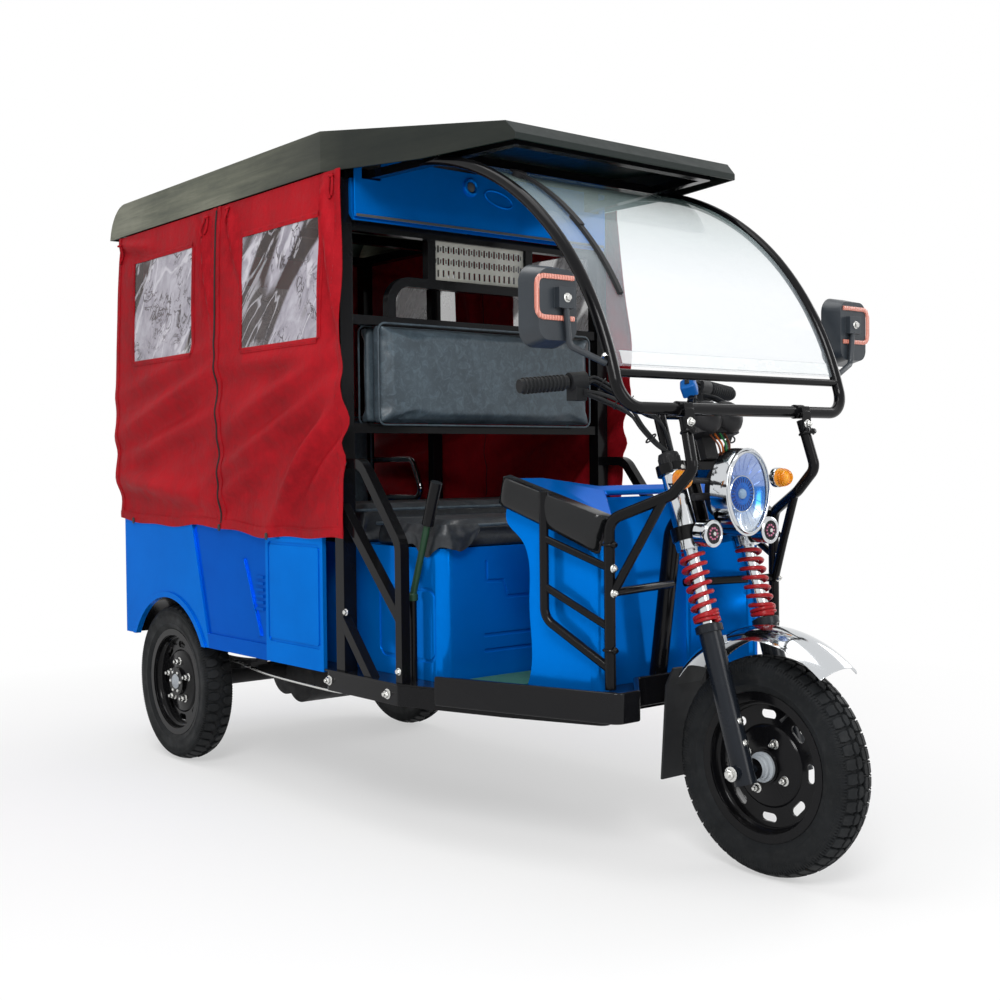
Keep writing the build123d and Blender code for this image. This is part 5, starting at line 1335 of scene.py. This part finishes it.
# Mirrors: C-shaped reflectors and stem bolts on their front faces
MIRROR_X = 0.9518
MIRROR_RUN = ((0.470, 1.338), (0.556, 1.338), (0.566, 1.335), (0.572, 1.328), (0.574, 1.318), (0.574, 1.272),
              (0.572, 1.262), (0.566, 1.255), (0.556, 1.252), (0.470, 1.252))
MIRROR_SECTION = ((-0.0058, -0.0012), (-0.0050, 0.0026), (0.0, 0.0034), (0.0050, 0.0026), (0.0058, -0.0012))
for side, word in SIDES:
    reflector, stem = Shape(), Shape()
    rows = []
    for i, (y, z) in enumerate(MIRROR_RUN):
        before, after = MIRROR_RUN[max(0, i - 1)], MIRROR_RUN[min(len(MIRROR_RUN) - 1, i + 1)]
        dy, dz = after[0] - before[0], after[1] - before[1]
        size = math.hypot(dy, dz)
        rows.append([Vector((MIRROR_X + lift, side * (y - dz / size * off), z + dy / size * off))
                     for off, lift in MIRROR_SECTION])
    reflector.grid(rows)
    reflector.cap(rows[0])
    reflector.cap(rows[-1])
    reflector.make(f"{word}_mirror_reflector", "chassis", "amber", "orange_reflector")
    stem.bolt((0.967, side * 0.502, 1.294), AHEAD, 0.013, 0.006)
    stem.bolt((0.9785, side * 0.4045, 1.1725), FORK_UP, 0.012, 0.006)
    stem.make(f"{word}_mirror_bolts", "chassis", "zinc")

# Screen: frosted band along the lower edge, with folded edges
SCREEN_X, SCREEN_Z, SCREEN_R = 0.221, 0.919, 0.800
glass_low = math.degrees(math.asin((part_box("windscreen_glass")[0][2] + 0.002 - SCREEN_Z) / SCREEN_R))
rows = []
for k in range(7):
    out = spoke(AHEAD, UP, math.radians(glass_low + 0.15 + 2.2 * k / 6)) * (SCREEN_R + 0.0042)
    rows.append([Vector((SCREEN_X, -0.362 + 0.724 * i / 40, SCREEN_Z)) + out for i in range(41)])
band = Shape()
band.grid(rows)
band.grid([[v - Vector((0.0030, 0, 0.0012)) for v in rows[0]], rows[0]])
band.grid([rows[-1], [v - Vector((0.0026, 0, 0.0016)) for v in rows[-1]]])
band.make("screen_lower_band", "chassis", "glass", "frosted")

# Overhead panel: tall fascia notched for the roof bars, lamp, pressed slot and pale lower edge
PANEL_X = 0.0872
LAMP_AT = (PANEL_X + 0.004, -0.067, 1.722)
FASCIA_HALF = [(0.455, 1.600), (0.455, 1.762), (0.430, 1.762), (0.430, 1.702), (0.370, 1.702), (0.370, 1.762)]
fascia, slot_rim, edge = Shape(), Shape(), Shape()
fascia.prism(FASCIA_HALF + [(-y, z) for y, z in reversed(FASCIA_HALF)], (PANEL_X, 0, 0), ACROSS, UP, 0.004)
fascia.make("overhead_fascia", "chassis", "blue_paint", bevel=0.0015)
turned("cabin_lamp_ring", "chassis", "blue_paint",
       [(0.026, -0.001), (0.026, 0.004), (0.023, 0.008), (0.018, 0.009), (0.015, 0.006), (0.014, 0.001)],
       LAMP_AT, AHEAD, 36)
turned("cabin_lamp_lens", "chassis", "lens",
       [(0.0145, 0.001), (0.0130, 0.0045), (0.0075, 0.0065), (0.0, 0.0070)],
       LAMP_AT, AHEAD, 30, "grey_plastic")
slot_rim.tube([Vector((PANEL_X + 0.004, 0.036, 1.700)) + spoke(Vector((0, 0.050, -0.010)), UP * 0.020, angle)
               for angle in turns(30)], 0.0035, 8, closed=True)
slot_rim.make("overhead_pressed_slot", "chassis", "blue_paint")
edge.prism(rounded_outline(0.90, 0.007, 0.003, 3), (PANEL_X + 0.0035, 0, 1.6045), ACROSS, UP, 0.003, 0.001)
edge.make("overhead_edge_trim", "chassis", "black_plastic", "grey_plastic")

# Bolts of the chassis, clamps and slanting braces of the guards, and their clamps on the screen's loop
POST_X, POST_Y = 0.868, 0.290
LOOP_Y = 0.206
bolts, clamps, braces, sleeves, studs = Shape(), Shape(), Shape(), Shape(), Shape()
for side, _ in SIDES:
    out = ACROSS * side
    for x, z in ((0.005, 0.372), (0.277, 0.370)):
        bolts.bolt((x, side * 0.4970, z), out, 0.017, 0.008, 0.005)
    for x, z in ((0.080, 0.951), (0.080, 0.560), (0.318, 0.430)):
        bolts.bolt((x, side * 0.4900, z), out, 0.012, 0.006)
    top = Vector((1.035, side * 0.2075, 1.012))
    clamps.ring(top, (0.032, side * 0.009, -0.119), 0.0150, 0.0034, 32, 8)
    clamps.bolt(top + Vector((0.0165, side * 0.004, 0.004)), (1, side * 0.2, 0.2), 0.011, 0.006)
    for z in (0.520, 0.760):
        clamps.ring((POST_X, side * POST_Y, z), UP, 0.0150, 0.0034, 32, 8)
        clamps.bolt((POST_X + 0.0162, side * POST_Y, z), AHEAD, 0.010, 0.005)
    braces.tube([(0.983, side * 0.2305, 0.866), (0.925, side * 0.259, 0.751),
                 (POST_X, side * POST_Y, 0.636)], 0.0105, 14)
    loop = side * LOOP_Y
    sleeves.lathe([(0.0142, -0.015), (0.0172, -0.014), (0.0172, 0.014), (0.0142, 0.015)],
                  (1.012, loop, 1.064), ACROSS, 28)
    sleeves.prism(rounded_outline(0.030, 0.050, 0.008), (1.0366, loop, 1.040), ACROSS, UP, 0.0036, 0.001)
    sleeves.prism(rounded_outline(0.030, 0.016, 0.003), (1.022, loop, 1.066), ACROSS, (-0.2, 0, 1), 0.016,
                  0.001)
    studs.bolt((1.0402, loop, 1.034), AHEAD, 0.014, 0.007, 0.003)
    for z in (0.650, 0.706):
        studs.bolt((0.881, side * POST_Y, z), AHEAD, 0.013, 0.006, 0.003)
bolts.make("chassis_bolts", "chassis", "zinc")
clamps.make("guard_clamps", "chassis", "black_steel")
braces.make("guard_braces", "chassis", "black_steel")
sleeves.make("guard_loop_clamps", "chassis", "black_steel")
studs.make("guard_studs", "chassis", "zinc")

# Thick rounded pads along the sides of the dash
PAD_STEPS = 30
for side, word in SIDES:
    out = Vector((0.29, side * 0.957, 0))
    rows = []
    for i in range(PAD_STEPS + 1):
        t = i / PAD_STEPS
        low = Vector((0.574, side * 0.3722, 0.850)).lerp(Vector((0.832, side * 0.2922, 0.740)), t)
        high = Vector((0.593, side * 0.3722, 0.919)).lerp(Vector((0.863, side * 0.2922, 0.824)), t)
        end = min(1.0, min(t, 1.0 - t) * 14.0) ** 0.5
        row = [low - out * 0.004]
        for k in range(11):
            angle = math.pi * k / 10
            reach = 0.0005 + 0.021 * end * math.sin(angle) ** 0.55
            level = -0.5 * math.cos(angle) * (0.9 + 0.1 * end)
            row.append((low + high) / 2 + (high - low) * level + out * reach)
        row.append(high - out * 0.030 + UP * 0.001)
        row.append(high - out * 0.034 - UP * 0.004)
        rows.append(row)
    pad = Shape()
    pad.grid(rows)
    pad.cap(rows[0])
    pad.cap(rows[-1])
    pad.make(f"{word}_dash_pad", "chassis", "black_plastic", "pad_black")

# Loose vinyl at the driver's seat: the cover hangs over the box's right front corner
path = [(0.190 + 0.006 * k, -0.4045) for k in range(33)]
for k in range(7):
    angle = math.radians(15 * k)
    path.append((0.384 + 0.0150 * math.sin(angle), -0.3895 - 0.0150 * math.cos(angle)))
path += [(0.399, -0.3835 + 0.006 * k) for k in range(1, 15)]
rows = []
for i, (x, y) in enumerate(path):
    before, after = path[max(0, i - 1)], path[min(len(path) - 1, i + 1)]
    out = Vector((after[1] - before[1], before[0] - after[0], 0)).normalized()
    share = i / (len(path) - 1)
    length = 0.030 + 0.042 * math.sin(math.pi * share) ** 0.8 + 0.012 * math.sin(share * 17.0)
    row = []
    for k in range(13):
        v = k / 12
        wave = 0.0035 * math.sin(share * 33.0 + v * 2.2) * v
        wave += 0.0022 * noise.noise(Vector((share * 14.0, v * 4.0, 5.0)))
        lift = 0.0008 + 0.0098 * min(1.0, v * 2.2) + max(-0.001, wave)
        row.append(Vector((x, y, 0.796 - length * v)) + out * lift)
    rows.append(row)
flap = Shape()
flap.grid(rows)
flap_obj = flap.make("seat_cover_flap", "chassis", "vinyl", "seat_vinyl")

# Painted shank of the hand brake
low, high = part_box("hand_brake")
shank_x, shank_y = low[0] + 0.010, (low[1] + high[1]) / 2
shank = Shape()
shank.tube([(shank_x + 0.003, shank_y, 0.622), (shank_x + 0.066, shank_y, 0.795)], 0.0088, 20)
shank.lathe([(0.0120, -0.004), (0.0135, 0.0), (0.0135, 0.012), (0.0100, 0.016)], (shank_x, shank_y, 0.606),
            UP, 24)
shank.make("hand_brake_shank", "chassis", "black_steel", "lever_green")

# Tail lamps: bezels, dividing bars and screws
low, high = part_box("tail_lamps")
lamp_deep = low[0] - high[0]
bezels, bars, screws = Shape(), Shape(), Shape()
for side, _ in SIDES:
    centre = Vector((high[0], side * (high[1] - 0.045), (low[2] + high[2]) / 2))
    loop = [centre + Vector((-0.006, a, b)) for a, b in rounded_outline(0.0975, 0.1775, 0.0215)]
    bezels.tube(loop, 0.0058, 10, closed=True)
    for b in (-0.029, 0.029):
        bars.prism(rounded_outline(0.086, 0.0050, 0.002, 3), centre + Vector((lamp_deep + 0.0006, 0, b)),
                   -ACROSS, UP, 0.0026, 0.0008)
    for a, b in ((-0.034, -0.072), (0.034, 0.072)):
        screws.bolt(centre + Vector((lamp_deep, a, b)), -AHEAD, 0.007, 0.003)
bezels.make("tail_lamp_bezels", "chassis", "black_plastic")
bars.make("tail_lamp_bars", "chassis", "black_plastic")
screws.make("tail_lamp_screws", "chassis", "zinc")

# Brake rod under the right side, its lever and clevis
rod, lever = Shape(), Shape()
run = [(0.028, -0.420, 0.352), (-0.030, -0.420, 0.330), (-0.116, -0.420, 0.322), (-0.450, -0.415, 0.325),
       (-0.640, -0.392, 0.330), (-0.720, -0.378, 0.331), (-0.860, -0.372, 0.331)]
rod.tube(curve_points(run, 8), 0.0042, 10)
rod.make("brake_rod", "chassis", "zinc")
PIVOT = (-0.860, -0.366, 0.331)
lever.prism([(-0.010, -0.075), (0.010, -0.075), (0.009, 0.010), (0.0, 0.018), (-0.009, 0.010)], PIVOT,
            AHEAD, UP, 0.006, 0.001)
lever.bolt(PIVOT, -ACROSS, 0.012, 0.007)
lever.make("brake_lever", "chassis", "black_steel")

# Floor mat with ribs
MAT_X, MAT_Y, MAT_Z = (0.405, 0.560), (-0.395, 0.395), 0.4002
COUNT_X, COUNT_Y = 96, 60
rows = []
for i in range(COUNT_X + 1):
    x = MAT_X[0] + (MAT_X[1] - MAT_X[0]) * i / COUNT_X
    row = []
    for j in range(COUNT_Y + 1):
        y = MAT_Y[0] + (MAT_Y[1] - MAT_Y[0]) * j / COUNT_Y
        inset = min(x - MAT_X[0], MAT_X[1] - x, y - MAT_Y[0], MAT_Y[1] - y)
        rib = 0.0022 * (0.5 + 0.5 * math.cos(math.tau * i / 8)) if inset > 0.010 else 0.0026
        lift = 0.0025 + rib + 0.0012 * noise.noise(Vector((x * 9, y * 5, 2.0)))
        row.append((x, y, MAT_Z + (lift if inset > 1e-6 else 0.0003)))
    rows.append(row)
mat = Shape()
mat.grid(rows)
mat.make("floor_mat", "chassis", "rubber", "mat_green")

# Bindings, ties and hem clips of the side curtains
for side, word in SIDES:
    line, ties, clips = Shape(), Shape(), Shape()
    column = [0.775 + (CLOTH_TOP - 0.785) * k / 60 for k in range(61)]
    pairs = [[cloth_point(x, z, side, 0.0022) for x in (SPANS["rear"][1], SPANS["front"][0])] for z in column]
    line.tube([(a + b) / 2 for a, b in pairs], 0.0032, 8)
    line.make(f"{word}_split_binding", "chassis", "canvas", "binding")
    for x, top in ((-0.633, 1.704), (-0.499, 1.710), (0.062, 1.710), (-1.262, 1.698)):
        for drift, length in ((-0.007, 0.066), (0.006, 0.058)):
            strap = [cloth_point(x + drift * sway, top - down * length, side, lift) for sway, down, lift in (
                (0.0, 0.0, 0.004), (1.0, 0.3, 0.006), (1.2, 0.7, 0.006), (0.4, 1.0, 0.005))]
            ties.tube(curve_points(strap, 6), 0.0034, 8)
        ties.ring(cloth_point(x, top - 0.006, side, 0.006), (0.2, side * 0.3, 1), 0.0050, 0.0034, 16, 8)
    ties.make(f"{word}_curtain_ties", "chassis", "canvas")
    for x in (-1.185, -0.584, -0.286):
        clips.prism(rounded_outline(0.012, 0.020, 0.003, 3), cloth_point(x, hem_z(x) + 0.004, side, 0.0030),
                    AHEAD * -side, UP, 0.003, 0.001)
    clips.make(f"{word}_hem_clips", "chassis", "zinc", "iron")

# Camera at the photograph's view
YAW, PITCH, ROLL = 0.88173, -0.022246, -0.010480
ahead = Vector((-math.sin(YAW) * math.cos(PITCH), math.cos(YAW) * math.cos(PITCH), math.sin(PITCH)))
right = Vector((math.cos(YAW), math.sin(YAW), 0))
upward = right.cross(ahead)
camera_data = bpy.data.cameras.new("photo_camera")
camera = bpy.data.objects.new("photo_camera", camera_data)
scene.collection.objects.link(camera)
turn = Matrix((spoke(right, upward, ROLL), spoke(upward, -right, ROLL), -ahead)).transposed().to_4x4()
camera.matrix_world = Matrix.Translation((3.0614, -2.4122, 0.9462)) @ turn
camera_data.sensor_fit = "HORIZONTAL"
camera_data.sensor_width = 36.0
camera_data.lens = 48.316
camera_data.shift_x = -0.0015
camera_data.shift_y = -0.0064
camera_data.clip_end = 200.0
scene.camera = camera

# Studio: pale floor that fades into a white surround, and soft lamps
FAR = 40
floor_mesh = bpy.data.meshes.new("studio_floor")
floor_mesh.from_pydata([(-FAR, -FAR, 0), (FAR, -FAR, 0), (FAR, FAR, 0), (-FAR, FAR, 0)], [], [(0, 1, 2, 3)])
floor = bpy.data.objects.new("studio_floor", floor_mesh)
scene.collection.objects.link(floor)
look = Look("pale_floor", Roughness=0.9, Specular_IOR_Level=0.1, Base_Color=(0.86, 0.86, 0.86))
distance = look.add("VectorMath", operation="LENGTH")
look.feed(distance.inputs[0], look.add("NewGeometry").outputs["Position"])
far = look.spread(distance.outputs["Value"], 0.50, 1.0, 1.4, 3.2)
mixed = look.add("MixShader", Fac=look.times(far, look.seen()))
look.feed(mixed.inputs[1], look.shader.outputs["BSDF"])
look.feed(mixed.inputs[2], look.add("Emission").outputs["Emission"])
look.feed(look.tree.nodes["Material Output"].inputs["Surface"], mixed.outputs["Shader"])
floor_mesh.materials.append(look.material)

world = bpy.data.worlds.new("studio")
scene.world = world
world.use_nodes = True
surround = Nodes(world.node_tree)
background = world.node_tree.nodes["Background"]
surround.feed(background.inputs["Strength"], surround.spread(surround.seen(), 0.46, 1.0, 0.0, 1.0))
surround.feed(background.inputs["Color"], (1, 1, 1))


def lamp(name, place, target, size, power):
    data = bpy.data.lights.new(name, "AREA")
    data.shape = "RECTANGLE"
    data.size, data.size_y = size
    data.energy = power
    obj = bpy.data.objects.new(name, data)
    scene.collection.objects.link(obj)
    obj.location = place
    obj.rotation_euler = (Vector(target) - Vector(place)).to_track_quat("-Z", "Y").to_euler()


lamp("key_lamp", (4.3, -3.9, 4.6), (0, 0, 0.9), (2.4, 2.0), 250)
lamp("top_lamp", (-0.5, -0.6, 5.0), (0, 0, 0.8), (4.0, 3.0), 100)
lamp("far_lamp", (1.0, 5.0, 3.0), (0, 0, 0.8), (3.0, 2.5), 75)
lamp("front_lamp", (5.4, 0.6, 1.9), (0.6, 0, 0.7), (1.8, 1.8), 42)
